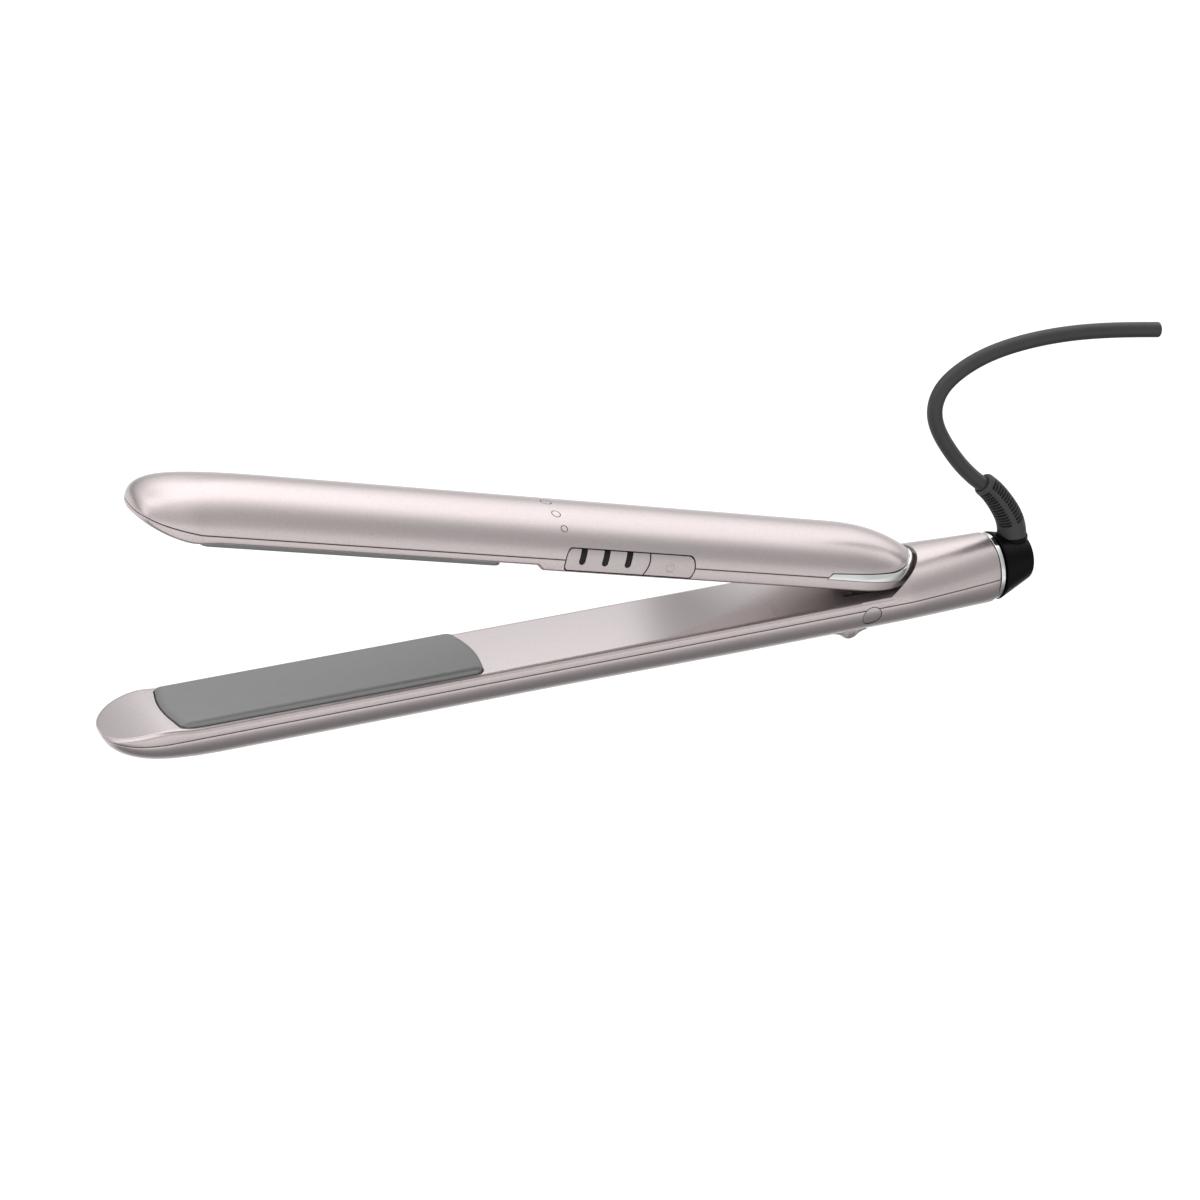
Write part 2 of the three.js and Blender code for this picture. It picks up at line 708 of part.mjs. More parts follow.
// ---- tail and cord ----
function ringAboutTail(profile, sides = 24) {
  const geometry = new THREE.LatheGeometry(
    profile.map(([r, x]) => new THREE.Vector2(r, x)),
    sides,
  );
  geometry.rotateZ(-Math.PI / 2);
  return toSolid(geometry.translate(0, 0, TAIL_AXIS_Z));
}

const chromeRing = () => ringAboutTail([
  [5.5, 47.3], [10, 47.3], [10.2, 47.5], [10.2, 48.9], [10, 49.1], [5.5, 49.1], [5.5, 47.3],
]);

const swivelSocket = () => ringAboutTail([
  [5.2, 40.2], [7.4, 40.2], [7.4, 46.5], [5.2, 46.5], [5.2, 40.2],
], 20);

const swivelStem = () => ringAboutTail([
  [2.4, 37.6], [6.4, 37.6], [6.4, 39.6], [4.8, 39.6], [4.8, 53.4], [2.4, 53.4], [2.4, 37.6],
], 20);

// Round sections of the swivel head: place along X, centre height, radius.
const HEAD_SECTIONS = [
  [49.4, 2.5, 9.9],
  [49.7, 2.5, 10.15],
  [51.5, 2.9, 9.75],
  [54, 3.6, 9],
  [56.5, 4.3, 8.2],
  [58.5, 4.7, 7.4],
  [59.8, 4.9, 6.5],
  [60.5, 5, 5.3],
];

function swivelHead() {
  const head = loft(HEAD_SECTIONS.map(([x, z, radius]) => {
    const ring = [];
    for (let i = 0; i < 24; i += 1) {
      const angle = (2 * Math.PI * i) / 24;
      ring.push(at(x, radius * Math.cos(angle), z + radius * Math.sin(angle)));
    }
    return ring;
  }));
  const stemSeat = rod(at(48, 0, TAIL_AXIS_Z), at(53.8, 0, TAIL_AXIS_Z), 5.1, 20);
  const bootSeat = rod(at(BOOT_ROOT_X, 0, 8.2), at(BOOT_ROOT_X, 0, 20), BOOT_ROOT_R + GAP, 20);
  return cut(head, stemSeat, bootSeat);
}

const BOOT_ROOT_X = 55.8;
const BOOT_ROOT_R = 4;
const BOOT_TIP_R = 3.5;
const CORD_R = 2;
const CORD_POINTS = [
  [BOOT_ROOT_X, 0, 8.6], [BOOT_ROOT_X, 0, 12.5], [54.8, 0, 17.5], [52.6, 0, 22], [49.6, 0, 26.2],
  [46.8, 0, 28.9], [43.4, 0, 31.9], [39.8, 0, 35], [35.6, 0, 39.6], [31.8, 0, 45], [28.6, 0, 50.2], [27.1, 0, 55.3],
  [27.9, 0, 60.4], [31.2, 0, 65.4], [36.8, 0, 68.9], [44, 0, 71.8], [55, 0, 73.9], [69, 0, 74.5],
  [85, 0, 73.5], [103.5, 0, 70.8],
];
const BOOT_POINTS = 6;            // how many of the cord's points lie inside the boot

function boot() {
  const path = smoothPath(CORD_POINTS.slice(0, BOOT_POINTS));
  const ribs = 7;
  const shares = [0, 0.2, 0.27];
  for (let i = 0; i < ribs; i += 1) {
    const start = 0.3 + (0.66 * i) / ribs;
    const pitch = 0.66 / ribs;
    shares.push(start, start + pitch * 0.45, start + pitch * 0.5, start + pitch * 0.95);
  }
  shares.push(0.97, 1);
  const rings = shares.map((share, i) => {
    const ribbed = i >= 3 && i < shares.length - 2;
    const groove = ribbed && (i - 3) % 4 < 2 ? 0.45 : 0;
    const tipRound = share === 1 ? 0.5 : 0;
    const radius = THREE.MathUtils.lerp(BOOT_ROOT_R, BOOT_TIP_R, share) - groove - tipRound;
    const centre = path.getPointAt(share);
    const forward = path.getTangentAt(share);
    const across = at(0, 1, 0);
    const up = new THREE.Vector3().crossVectors(forward, across);
    const ring = [];
    for (let k = 0; k < 10; k += 1) {
      const angle = (2 * Math.PI * k) / 10;
      ring.push(centre.clone()
        .addScaledVector(across, radius * Math.cos(angle))
        .addScaledVector(up, radius * Math.sin(angle)));
    }
    return ring;
  });
  const bore = tube(smoothPath(CORD_POINTS.slice(1, BOOT_POINTS + 1)), CORD_R + 0.3, 10, 10);
  return cut(loft(rings), bore);
}

function cordPath() {
  return smoothPath(CORD_POINTS.slice(2));
}

// The cut end of the cord, and the way it points there.
function cordEnd() {
  const path = cordPath();
  return { centre: path.getPointAt(1), forward: path.getTangentAt(1) };
}

function coreRod(side, from, to, radius) {
  const { centre, forward } = cordEnd();
  const start = centre.clone().addScaledVector(forward, from);
  const end = centre.clone().addScaledVector(forward, to);
  start.y += side * 0.85;
  end.y += side * 0.85;
  return rod(start, end, radius, 10);
}

function cordJacket() {
  const jacket = tube(cordPath(), CORD_R, 34, 10);
  return cut(jacket, coreRod(-1, -7, 2, 0.72), coreRod(1, -7, 2, 0.72));
}

const cordCore = (side) => coreRod(side, -6.6, 0.35, 0.6);

// ---- electrics ----
const lead = (points) => tube(smoothPath(points), 0.7, 24, 6);

const mainsLead = () => lead([
  [35.5, 3.5, 2], [20, 3.5, 2.3], [8, 3.5, 2.7], [0, 3.5, 2.75], [-3.5, 3.5, 2.1],
  [-6.5, 3.5, -1.2], [-9.5, 3.5, -2.8], [-16, 3.5, -2.6], [-25, 3.5, -1.6],
]);

const heaterLead = () => tube(smoothPath([
  [-101.5, 5.5, -0.3], [-112, 5.5, 0], [-122, 5.5, 1.6], [-134, 5.5, 2.4],
]), 0.5, 14, 6);

const powerBoard = () => cut(
  box(-100, -26, -9, 9, -2.2, -0.7),
  ...[-94, -32].map((x) => rod(at(x, -6, -4), at(x, -6, 1), 1.4, 10)),
);

const filterCapacitor = () => rod(at(-64, 0, 1.4), at(-50, 0, 1.4), 1.9, 16);

const controlBoard = () => cut(
  box(-112, -24, -9.2, 9.2, 16.6, 18.2),
  ...[-106, -30].map((x) => rod(at(x, 5, 15), at(x, 5, 20), 1.4, 10)),
);

const keyBoard = () => box(-105, -62, -10, -9, 9.95, 15.9);

// ---- assembly ----
const iron = new THREE.Group();
iron.position.set(-(REST_FROM + REST_TO) / 2, 0, -REST_Z);
const upperArm = new THREE.Group();
upperArm.rotation.y = OPEN_ANGLE;
iron.add(upperArm);

function add(parent, name, solid, look) {
  const mesh = new THREE.Mesh(toGeometry(solid), new THREE.MeshStandardMaterial(look));
  mesh.name = name;
  parent.add(mesh);
}

add(iron, 'lower_outer_shell', lowerOuterShell(), LOOK.paint);
add(iron, 'lower_inner_cover', lowerInnerCover(), LOOK.innerPaint);
add(iron, 'hinge_bracket', hingeBracket(), LOOK.steel);
add(iron, 'hinge_pin', hingePin(), LOOK.steel);
add(iron, 'hinge_torsion_spring', torsionSpring(), LOOK.springSteel);
add(iron, 'pivot_cap_near', pivotCap(-1), LOOK.paint);
add(iron, 'pivot_cap_far', pivotCap(1), LOOK.paint);
add(iron, 'lock_slider', lockSlider(), LOOK.paint);
add(iron, 'power_board', powerBoard(), LOOK.board);
add(iron, 'filter_capacitor', filterCapacitor(), LOOK.black);
add(iron, 'mains_lead', mainsLead(), LOOK.black);
add(iron, 'tail_chrome_ring', chromeRing(), LOOK.chrome);
add(iron, 'swivel_socket', swivelSocket(), LOOK.tray);

add(iron, 'swivel_stem', swivelStem(), LOOK.black);
add(iron, 'swivel_head', swivelHead(), LOOK.black);
add(iron, 'cord_boot', boot(), LOOK.rubber);
add(iron, 'cord_jacket', cordJacket(), LOOK.cord);
add(iron, 'cord_core_live', cordCore(-1), LOOK.liveSleeve);
add(iron, 'cord_core_neutral', cordCore(1), LOOK.neutralSleeve);

add(upperArm, 'upper_outer_shell', upperOuterShell(), LOOK.paint);
add(upperArm, 'upper_inner_cover', upperInnerCover(), LOOK.innerPaint);
add(upperArm, 'upper_chrome_trim', chromeTrim(), LOOK.chrome);
add(upperArm, 'hinge_yoke', hingeYoke(), LOOK.steel);
add(upperArm, 'key_holder', keyHolder(), LOOK.black);
add(upperArm, 'key_board', keyBoard(), LOOK.board);
add(upperArm, 'control_board', controlBoard(), LOOK.board);
add(upperArm, 'temperature_switch', tactSwitch(-92.4), LOOK.steel);
add(upperArm, 'power_switch', tactSwitch(-71), LOOK.steel);
add(upperArm, 'temperature_key', temperatureKey(), LOOK.keyPaint);
add(upperArm, 'temperature_light_guide', lightGuide(), LOOK.window);
add(upperArm, 'power_key', powerKey(), LOOK.keyPaint);
['low', 'middle', 'high'].forEach((level, i) => {
  add(upperArm, `indicator_led_${level}`, indicatorLed(WINDOW_X[i]), LOOK.led);
});
Object.entries(DOTS).forEach(([name, dot]) => add(upperArm, name, markerDot(dot), LOOK.keyPaint));

// Each arm holds the same heating set; the upper one is the reflection of the lower.
const SETS = { lower: [iron, (solid) => solid], upper: [upperArm, reflect] };
Object.entries(SETS).forEach(([arm, [parent, place]]) => {
  add(parent, `${arm}_plate`, place(heatingPlate()), LOOK.plate);
  add(parent, `${arm}_heater`, place(heater()), LOOK.ceramic);
  add(parent, `${arm}_heater_clip`, place(heaterClip()), LOOK.springSteel);
  add(parent, `${arm}_thermistor`, place(thermistor()), LOOK.ceramic);
  add(parent, `${arm}_plate_carrier`, place(plateCarrier()), LOOK.tray);
  add(parent, `${arm}_heater_lead`, place(heaterLead()), LOOK.black);
  ['front', 'rear'].forEach((end, i) => {
    add(parent, `${arm}_carrier_screw_${end}`, place(carrierScrew(SCREW_X[i])), LOOK.steel);
    add(parent, `${arm}_float_spring_${end}`, place(floatSpring(SPRING_X[i])), LOOK.springSteel);
  });
});

export default iron;
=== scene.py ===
# Hair straightener (flat iron): the visible pieces, their finishes, the light and the camera.
# Pieces are drawn in millimetres about the centre of the hinge pin: +X runs to the cord end and -Y is
# the key side. Pieces of the upper arm are drawn closed and are then turned open with it.
import json
import math

import bmesh
import bpy
from mathutils import Matrix, Vector


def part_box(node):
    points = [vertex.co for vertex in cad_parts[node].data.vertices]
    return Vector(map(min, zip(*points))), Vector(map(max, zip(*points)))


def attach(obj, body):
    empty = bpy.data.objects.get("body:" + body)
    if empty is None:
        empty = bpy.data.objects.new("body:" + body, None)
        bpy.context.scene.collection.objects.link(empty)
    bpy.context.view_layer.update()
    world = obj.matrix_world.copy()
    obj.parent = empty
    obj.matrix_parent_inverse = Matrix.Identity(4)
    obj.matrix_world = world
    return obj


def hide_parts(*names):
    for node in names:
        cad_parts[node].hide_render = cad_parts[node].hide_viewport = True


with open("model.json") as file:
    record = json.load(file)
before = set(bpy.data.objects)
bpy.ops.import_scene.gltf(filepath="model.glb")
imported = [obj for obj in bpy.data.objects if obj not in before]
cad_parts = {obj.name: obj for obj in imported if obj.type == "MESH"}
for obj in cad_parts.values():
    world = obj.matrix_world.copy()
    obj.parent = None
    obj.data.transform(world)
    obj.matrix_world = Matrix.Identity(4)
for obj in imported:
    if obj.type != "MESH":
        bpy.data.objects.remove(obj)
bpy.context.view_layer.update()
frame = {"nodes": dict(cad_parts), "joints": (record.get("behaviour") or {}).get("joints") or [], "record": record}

JOINTS = {joint["name"]: joint for joint in frame["joints"]}
HINGE = Vector(JOINTS["arm_hinge"]["pos_m"])
LIFT_AXIS = Vector(JOINTS["upper_plate_float"]["axis"])
OPEN_ANGLE = math.atan2(LIFT_AXIS.x, LIFT_AXIS.z)
MM = 0.001

# ---- driving dimensions, in millimetres ----
HALF_WIDTH = 15.3
CLOSING_Z = 7.53              # plane midway between the closed plates
SEAM = 0.1                    # each side of a parting line
LIP = 0.16                    # rounding of the edges along a parting line
WALL = 1.7
COVER_WALL = 1.4
FOLD_WIDTH = 2.1              # rounding between a flat face and the side wall
FOLD_HEIGHT = 1.0

LOWER_SEAM_Z = 2.85
LOWER_FACE_Z = 5.6
BELLY_DEPTH = 10.25
REST_Z = -7.3
UPPER_SEAM_Z = 12.1
UPPER_FACE_Z = 9.6
HANDLE_FACE_Z = 8.15
CROWN_Z = 24.15

TIP_START = -214
LOWER_TIP_LENGTH = 18.6
UPPER_TIP_LENGTH = 16.7
TIP_POWER = 2.5
TAIL_START = 14
TAIL_END = 47
TAIL_RADIUS = 10.6
TAIL_AXIS_Z = 2.2
TAIL_ROUND = 0.7
NOSE_START = -8
NOSE_LENGTH = 24.3
NOSE_POWER = 2.1
COVER_NOSE = 25.9
CHROME_NOSE = 26.2

PLATE_FRONT = -214.7
PLATE_BACK = -121.4
PLATE_HALF = 13.2
PLATE_BOW = 38
PLATE_CORNER = 2.6
PLATE_FACE_Z = 7.3
PLATE_BOTTOM_Z = 4.7
PLATE_ROOM = 0.4

KEY_TOP = 15.5
KEY_BOTTOM = 9.3
KEY_LEFT = -104.5
KEY_SPLIT = -78.3
KEY_RIGHT = -63.3
KEY_ROOM = 0.38
KEY_INNER_Y = -13
WINDOW_X = [-99.5, -92.2, -84.9]
WINDOW_HALF = 1.0
MARK_CENTRE = (-71.1, 11.9)   # power mark, in x and z
MARK_RADIUS = 1.25
MARK_HALF = 0.17
MARK_RISE = 0.13

DOTS = {
    "marker_dot_large": (-107.2, 0, 1.75),
    "marker_dot_medium": (-106.5, 25, 1.45),
    "marker_dot_small": (-105.3, 47, 1.15),
}

CAP_RADIUS = 2.95
CAP_CENTRE = (0.5, 0.7)
NUB_HALF = 5.6                # half the width of the thumb lock

HEAD_START = 49.4             # the swivel head, with its two rounded edges
HEAD_END = 60.6
HEAD_LIP = 0.25
HEAD_EDGE = 0.7
BOOT_X = 56.1                 # axis of the boot where it stands in the head
COLLAR_R = 4.8

BOOT_ROOT_R = 4.65
BOOT_TIP_R = 3.55
BOOT_PATH = [(56.1, 8.6), (56, 12.5), (55.3, 16.2), (53.3, 20.3), (50.4, 24.5), (48, 27.6), (44.9, 30.3)]
SLOT_START = 0.31             # the cross slots of the boot, as shares of its length
SLOT_END = 0.95
SLOT_COUNT = 14
SLOT_DEPTH = 1.2
CORD_R = 2.35
CORD_PATH = [
    (53, 21), (50.2, 24.8), (47.6, 27.7), (44.6, 30.1), (42.1, 32.2), (38.5, 35.8), (35.2, 39.8),
    (31.6, 45), (28.6, 50.2), (27.1, 55.3), (27.6, 60), (30.4, 64.8), (36.8, 68.9), (44.5, 71.9),
    (55, 73.8), (69, 74.5), (85, 73.5), (103.5, 70.8),
]


# ---- meshes ----
def steps(start, end, count):
    """Evenly spaced values from start to end, with both ends."""
    return [start + (end - start) * i / count for i in range(count + 1)]


def circle(radius, sides):
    """Points (across, up) round a circle."""
    turns = steps(0, 2 * math.pi, sides)[:-1]
    return [(radius * math.cos(turn), radius * math.sin(turn)) for turn in turns]


def build(name, points, faces):
    """A mesh piece with doubled points merged and every face turned outward."""
    mesh = bpy.data.meshes.new(name)
    mesh.from_pydata([Vector(p) for p in points], [], faces)
    shape = bmesh.new()
    shape.from_mesh(mesh)
    bmesh.ops.remove_doubles(shape, verts=shape.verts[:], dist=1e-4)
    bmesh.ops.dissolve_degenerate(shape, edges=shape.edges[:], dist=1e-4)
    bmesh.ops.recalc_face_normals(shape, faces=shape.faces[:])
    shape.to_mesh(mesh)
    shape.free()
    piece = bpy.data.objects.new(name, mesh)
    bpy.context.scene.collection.objects.link(piece)
    return piece


def loft(name, rings, looped=False):
    """A skin through rings with the same number of points, capped at both ends unless it is looped."""
    count = len(rings[0])
    total = len(rings)
    points = [p for ring in rings for p in ring]
    faces = []
    for r in range(total if looped else total - 1):
        near = r * count
        far = ((r + 1) % total) * count
        for i in range(count):
            j = (i + 1) % count
            faces.append((near + i, near + j, far + j, far + i))
    if not looped:
        faces.append(tuple(range(count)))
        faces.append(tuple(range((total - 1) * count, total * count)))
    return build(name, points, faces)


def block(x0, x1, y0, y1, z0, z1):
    """A box between the given places; it cuts slots and makes stems and rails."""
    ring = [(y0, z0), (y1, z0), (y1, z1), (y0, z1)]
    return loft("block", [[(x, y, z) for y, z in ring] for x in (x0, x1)])


def prism_y(outline, y0, y1):
    """A flat outline in X and Z given thickness along Y."""
    return loft("prism", [[(x, y, z) for x, z in outline] for y in (y0, y1)])


def prism_z(outline, z0, z1):
    """A flat outline in X and Y given height along Z."""
    return loft("prism", [[(x, y, z) for x, y in outline] for z in (z0, z1)])


def disc_prism(centre, radius, y0, y1, sides=64):
    """A round bar along Y."""
    outline = [(centre[0] + across, centre[1] + up) for across, up in circle(radius, sides)]
    return prism_y(outline, y0, y1)


def lathe(name, profile, axis_z, sides=96):
    """A profile of (radius, x) turned about an axis along X."""
    rings = []
    for across, up in circle(1, sides):
        rings.append([(x, radius * across, axis_z + radius * up) for radius, x in profile])
    return loft(name, rings, looped=True)


def upright_ring(x, radius, z, sides):
    """A level circle about a vertical axis at the given x."""
    return [(x + along, across, z) for along, across in circle(radius, sides)]


def apply_modifiers(piece):
    graph = bpy.context.evaluated_depsgraph_get()
    shape = bpy.data.meshes.new_from_object(piece.evaluated_get(graph))
    piece.modifiers.clear()
    piece.data = shape


def combine(piece, operation, *others):
    for other in others:
        step = piece.modifiers.new("combine", "BOOLEAN")
        step.operation = operation
        step.solver = "MANIFOLD"
        step.object = other
        apply_modifiers(piece)
        bpy.data.objects.remove(other)
    return piece


def cut(piece, *cutters):
    return combine(piece, "DIFFERENCE", *cutters)


def join(piece, *others):
    return combine(piece, "UNION", *others)


def keep_within(piece, *others):
    return combine(piece, "INTERSECT", *others)


def shade(piece, crease=32):
    """Smooth shading that stays crisp where faces meet at more than the crease angle."""
    shape = bmesh.new()
    shape.from_mesh(piece.data)
    limit = math.radians(crease)
    for face in shape.faces:
        face.smooth = True
    for edge in shape.edges:
        edge.smooth = len(edge.link_faces) == 2 and edge.calc_face_angle(0) < limit
    shape.to_mesh(piece.data)
    shape.free()


LOWER = Matrix.Translation(HINGE) @ Matrix.Scale(MM, 4)
UPPER = LOWER @ Matrix.Rotation(OPEN_ANGLE, 4, "Y")


def settle(piece, name, place, body, material, slot, *nodes):
    """Puts a drawn piece in its place, with its finish, the body it rides on and what it stands for."""
    piece.name = name
    piece.data.transform(place)
    shade(piece)
    piece.data.materials.clear()
    piece.data.materials.append(material)
    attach(piece, body)
    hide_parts(*nodes)
    return piece


def satin_edges(piece, face_normal):
    """Leaves the gloss on the flat inner face only; folds, walls and tail get the satin paint."""
    piece.data.materials.append(PAINT)
    for face in piece.data.polygons:
        flat = abs(face.normal.y) < 0.06 and face.normal.dot(face_normal) > 0.8
        face.material_index = 0 if flat and face.center.x < HINGE.x - 4 * MM else 1


# ---- curves ----
def fade(t):
    """A soft step from 0 to 1."""
    s = min(max(t, 0), 1)
    return s * s * (3 - 2 * s)


def round_end(t, power):
    """How much of the full width is left at share t of a rounded end."""
    return (1 - min(max(t, 0), 1) ** power) ** (1 / power)


def bend(start, control, end, count=8):
    """Points along a quadratic curve, without its first point."""
    points = []
    for t in steps(0, 1, count)[1:]:
        points.append(tuple(
            (1 - t) ** 2 * a + 2 * t * (1 - t) * b + t * t * c
            for a, b, c in zip(start, control, end)
        ))
    return points


def smooth_path(knots, count):
    """An even run of points along a soft curve through the knots."""
    fine = []
    for i in range(len(knots) - 1):
        a, b = Vector(knots[max(i - 1, 0)]), Vector(knots[i])
        c, d = Vector(knots[i + 1]), Vector(knots[min(i + 2, len(knots) - 1)])
        for t in steps(0, 1, 24)[:-1]:
            fine.append(0.5 * (
                2 * b + (c - a) * t + (2 * a - 5 * b + 4 * c - d) * t ** 2
                + (3 * b - a - 3 * c + d) * t ** 3
            ))
    fine.append(Vector(knots[-1]))
    for _ in range(300):
        fine = [fine[0]] + [
            (fine[i - 1] + 2 * fine[i] + fine[i + 1]) / 4 for i in range(1, len(fine) - 1)
        ] + [fine[-1]]
    lengths = [0]
    for a, b in zip(fine, fine[1:]):
        lengths.append(lengths[-1] + (b - a).length)
    path = []
    i = 0
    for want in steps(0, lengths[-1], count):
        while i < len(fine) - 2 and lengths[i + 1] < want:
            i += 1
        share = (want - lengths[i]) / max(lengths[i + 1] - lengths[i], 1e-9)
        path.append(fine[i].lerp(fine[i + 1], min(share, 1)))
    return path


def sweep(name, path, radius_at, sides=40):
    """A round skin about a path in the X and Z plane; radius_at(share, angle) gives its radius."""
    rings = []
    last = len(path) - 1
    for i, centre in enumerate(path):
        along = (path[min(i + 1, last)] - path[max(i - 1, 0)]).normalized()
        outward = Vector((along.y, -along.x))
        ring = []
        for angle in steps(0, 2 * math.pi, sides)[:-1]:
            radius = radius_at(i / last, angle)
            side = radius * math.sin(angle)
            ring.append((
                centre.x + side * outward.x,
                -radius * math.cos(angle),
                centre.y + side * outward.y,
            ))
        rings.append(ring)
    return loft(name, rings)


# ---- outline of the arms ----
def lower_tip(x):
    return max(0, (TIP_START - x) / LOWER_TIP_LENGTH)


def upper_tip(x):
    return max(0, (TIP_START - x) / UPPER_TIP_LENGTH)


def tail_share(x):
    return max(0, (x - TAIL_START) / (TAIL_END - TAIL_START))


def edge_drop(past, radius):
    """How far a rounded edge has drawn in at a distance past the start of its curve."""
    return radius - math.sqrt(max(0, radius ** 2 - max(0, past) ** 2))


def tail_rounding(x):
    return edge_drop(x - TAIL_END + TAIL_ROUND, TAIL_ROUND)


def lower_half_width(x):
    """Half the width of the lower arm, from its tip through its tail."""
    taper = (HALF_WIDTH - TAIL_RADIUS) * tail_share(x) ** 1.1
    return HALF_WIDTH * round_end(lower_tip(x), TIP_POWER) - taper - tail_rounding(x)


def lower_seam_z(x):
    return LOWER_SEAM_Z - (LOWER_SEAM_Z - TAIL_AXIS_Z) * tail_share(x)


def belly_depth(x):
    share = (-200 - x) / 32.4
    fuller = 0.6 * fade((x + 110) / 80)
    return BELLY_DEPTH * round_end(share, 2.1) + fuller - tail_rounding(x)


def lower_face_z(x):
    rise = 0.9 * fade((-207 - x) / 10)
    fall = 3.0 * max(0, (-217 - x) / 15.4) ** 1.6
    return LOWER_FACE_Z + rise - fall


def tail_crown(x):
    return 10.35 + 0.5 * tail_share(x) ** 3 - tail_rounding(x)


def upper_half_width(x, nose=NOSE_LENGTH):
    tip = round_end(upper_tip(x), TIP_POWER)
    return HALF_WIDTH * tip * round_end((x - NOSE_START) / nose, NOSE_POWER)


def upper_seam_z(x):
    return UPPER_SEAM_Z + 2.2 * upper_tip(x)


def crown_z(x):
    if x < -190:
        return 14.6 + (CROWN_Z - 14.6) * round_end((-190 - x) / 40.7, 3.0)
    droop = 6.0 * max(0, (x + 12) / 29) ** 2.6
    return CROWN_Z - 0.0045 * (x + 190) - droop


def upper_face_z(x):
    tip = UPPER_FACE_Z - 0.6 * fade((-207 - x) / 10) + 4.1 * upper_tip(x) ** 1.6
    handle_step = (UPPER_FACE_Z - HANDLE_FACE_Z) * fade((x + 113) / 2.5)
    rear = 2.4 * max(0, (x + 3) / 23) ** 1.6
    return tip - handle_step + rear


def rounded_stations(start, length, power, count):
    """Places along a rounded end, close together where it turns in."""
    turns = steps(0, math.radians(89.7), count)
    return [start + length * math.sin(turn) ** (2 / power) for turn in turns]


LOWER_TIP = rounded_stations(TIP_START, -LOWER_TIP_LENGTH, TIP_POWER, 28)[::-1]
UPPER_TIP = rounded_stations(TIP_START, -UPPER_TIP_LENGTH, TIP_POWER, 28)[::-1]
REAR_NOSE = rounded_stations(NOSE_START, NOSE_LENGTH, NOSE_POWER, 28)
COVER_NOSE_X = rounded_stations(NOSE_START, COVER_NOSE, NOSE_POWER, 28)
TAIL_X = steps(TAIL_START, TAIL_END - TAIL_ROUND, 10) + rounded_stations(
    TAIL_END - TAIL_ROUND, TAIL_ROUND, 2, 5)[1:]
STEP_X = steps(-113.5, -110, 14)
CROWN_X = UPPER_TIP + steps(-213, -30, 40) + steps(-28, NOSE_START, 10)[:-1] + REAR_NOSE
COVER_X = (
    UPPER_TIP + steps(-213, -114, 24) + STEP_X + steps(-109, NOSE_START, 20)[:-1] + COVER_NOSE_X
)


# ---- sections ----
def lip_points(half_width, seam_z, side, edge):
    """A small quarter round from the parting line to the side wall."""
    points = []
    for turn in steps(0, math.pi / 2, 4):
        points.append((
            half_width - edge + edge * math.sin(turn),
            seam_z + side * (edge - edge * math.cos(turn)),
        ))
    return points


def mirrored(x, half):
    """A closed section from its +Y half, which runs from the parting line to the far face."""
    other = [(-y, z) for y, z in reversed(half)]
    return [(x, y, z) for y, z in half + other]


def arch_ring(x, half_width, seam_z, height, lip=LIP):
    """Half an ellipse that stands on the parting line, or hangs from it if height is below zero."""
    side = math.copysign(1, height)
    width = max(half_width, 0.01)
    edge = min(lip, width * 0.3, abs(height) * 0.3)
    half = lip_points(width, seam_z, side, edge)
    first = math.asin(edge / abs(height))
    for turn in steps(first, math.pi / 2, 30)[1:-1]:
        half.append((width * math.cos(turn), seam_z + height * math.sin(turn)))
    return mirrored(x, half)


def slab_ring(x, half_width, seam_z, face_z, lip=LIP):
    """A flat-faced section with a rounded fold along each side."""
    side = math.copysign(1, face_z - seam_z)
    height = abs(face_z - seam_z)
    width = max(half_width, 0.01)
    edge = min(lip, width * 0.2, height * 0.1)
    across = min(FOLD_WIDTH, width * 0.5)
    down = min(FOLD_HEIGHT, height * 0.85)
    half = lip_points(width, seam_z, side, edge)
    for turn in steps(0, math.pi / 2, 10):
        half.append((
            width - across + across * math.cos(turn),
            face_z - side * down * (1 - math.sin(turn)),
        ))
    return mirrored(x, half)


def plate_outline(grow):
    """Plan of a heating plate: straight sides, bowed ends and rounded corners."""
    def end(centre_x, outward):
        corner_y = PLATE_HALF - PLATE_CORNER
        bow = PLATE_BOW - math.sqrt(PLATE_BOW ** 2 - PLATE_HALF ** 2)
        radius = PLATE_CORNER + grow
        side = []
        for turn in steps(90, 14, 8):
            angle = math.radians(turn)
            side.append((
                -bow - 1.7 + radius * math.cos(angle),
                corner_y + radius * math.sin(angle),
            ))
        for y in steps(corner_y - 1, 0, 8):
            side.append((grow - PLATE_BOW + math.sqrt(PLATE_BOW ** 2 - y * y), y))
        side += [(x, -y) for x, y in reversed(side[:-1])]
        return [(centre_x + outward * x, outward * y) for x, y in side]
    return end(PLATE_BACK, 1) + end(PLATE_FRONT, -1)


def plate_ring(grow, z):
    return [(x, y, z) for x, y in plate_outline(grow)]


# How far in, and how far below the face, the rolled edge of a plate runs.
PLATE_ROLL = [(0, 0.75), (0.04, 0.62), (0.15, 0.5), (0.5, 0.34), (1.0, 0.17), (1.6, 0.05), (2.1, 0)]


def heating_plate(name):
    rings = [plate_ring(0, PLATE_BOTTOM_Z)]
    rings += [plate_ring(-inset, PLATE_FACE_Z - drop) for inset, drop in PLATE_ROLL]
    return loft(name, rings)


def plate_opening():
    """Cutter for the opening around a plate."""
    return loft("opening", [plate_ring(PLATE_ROOM, z) for z in (1, 12)])


def plate_rails():
    return [block(-203, -132, side * 8.1 - 0.6, side * 8.1 + 0.6, 1.9, PLATE_BOTTOM_Z + 0.5)
            for side in (-1, 1)]


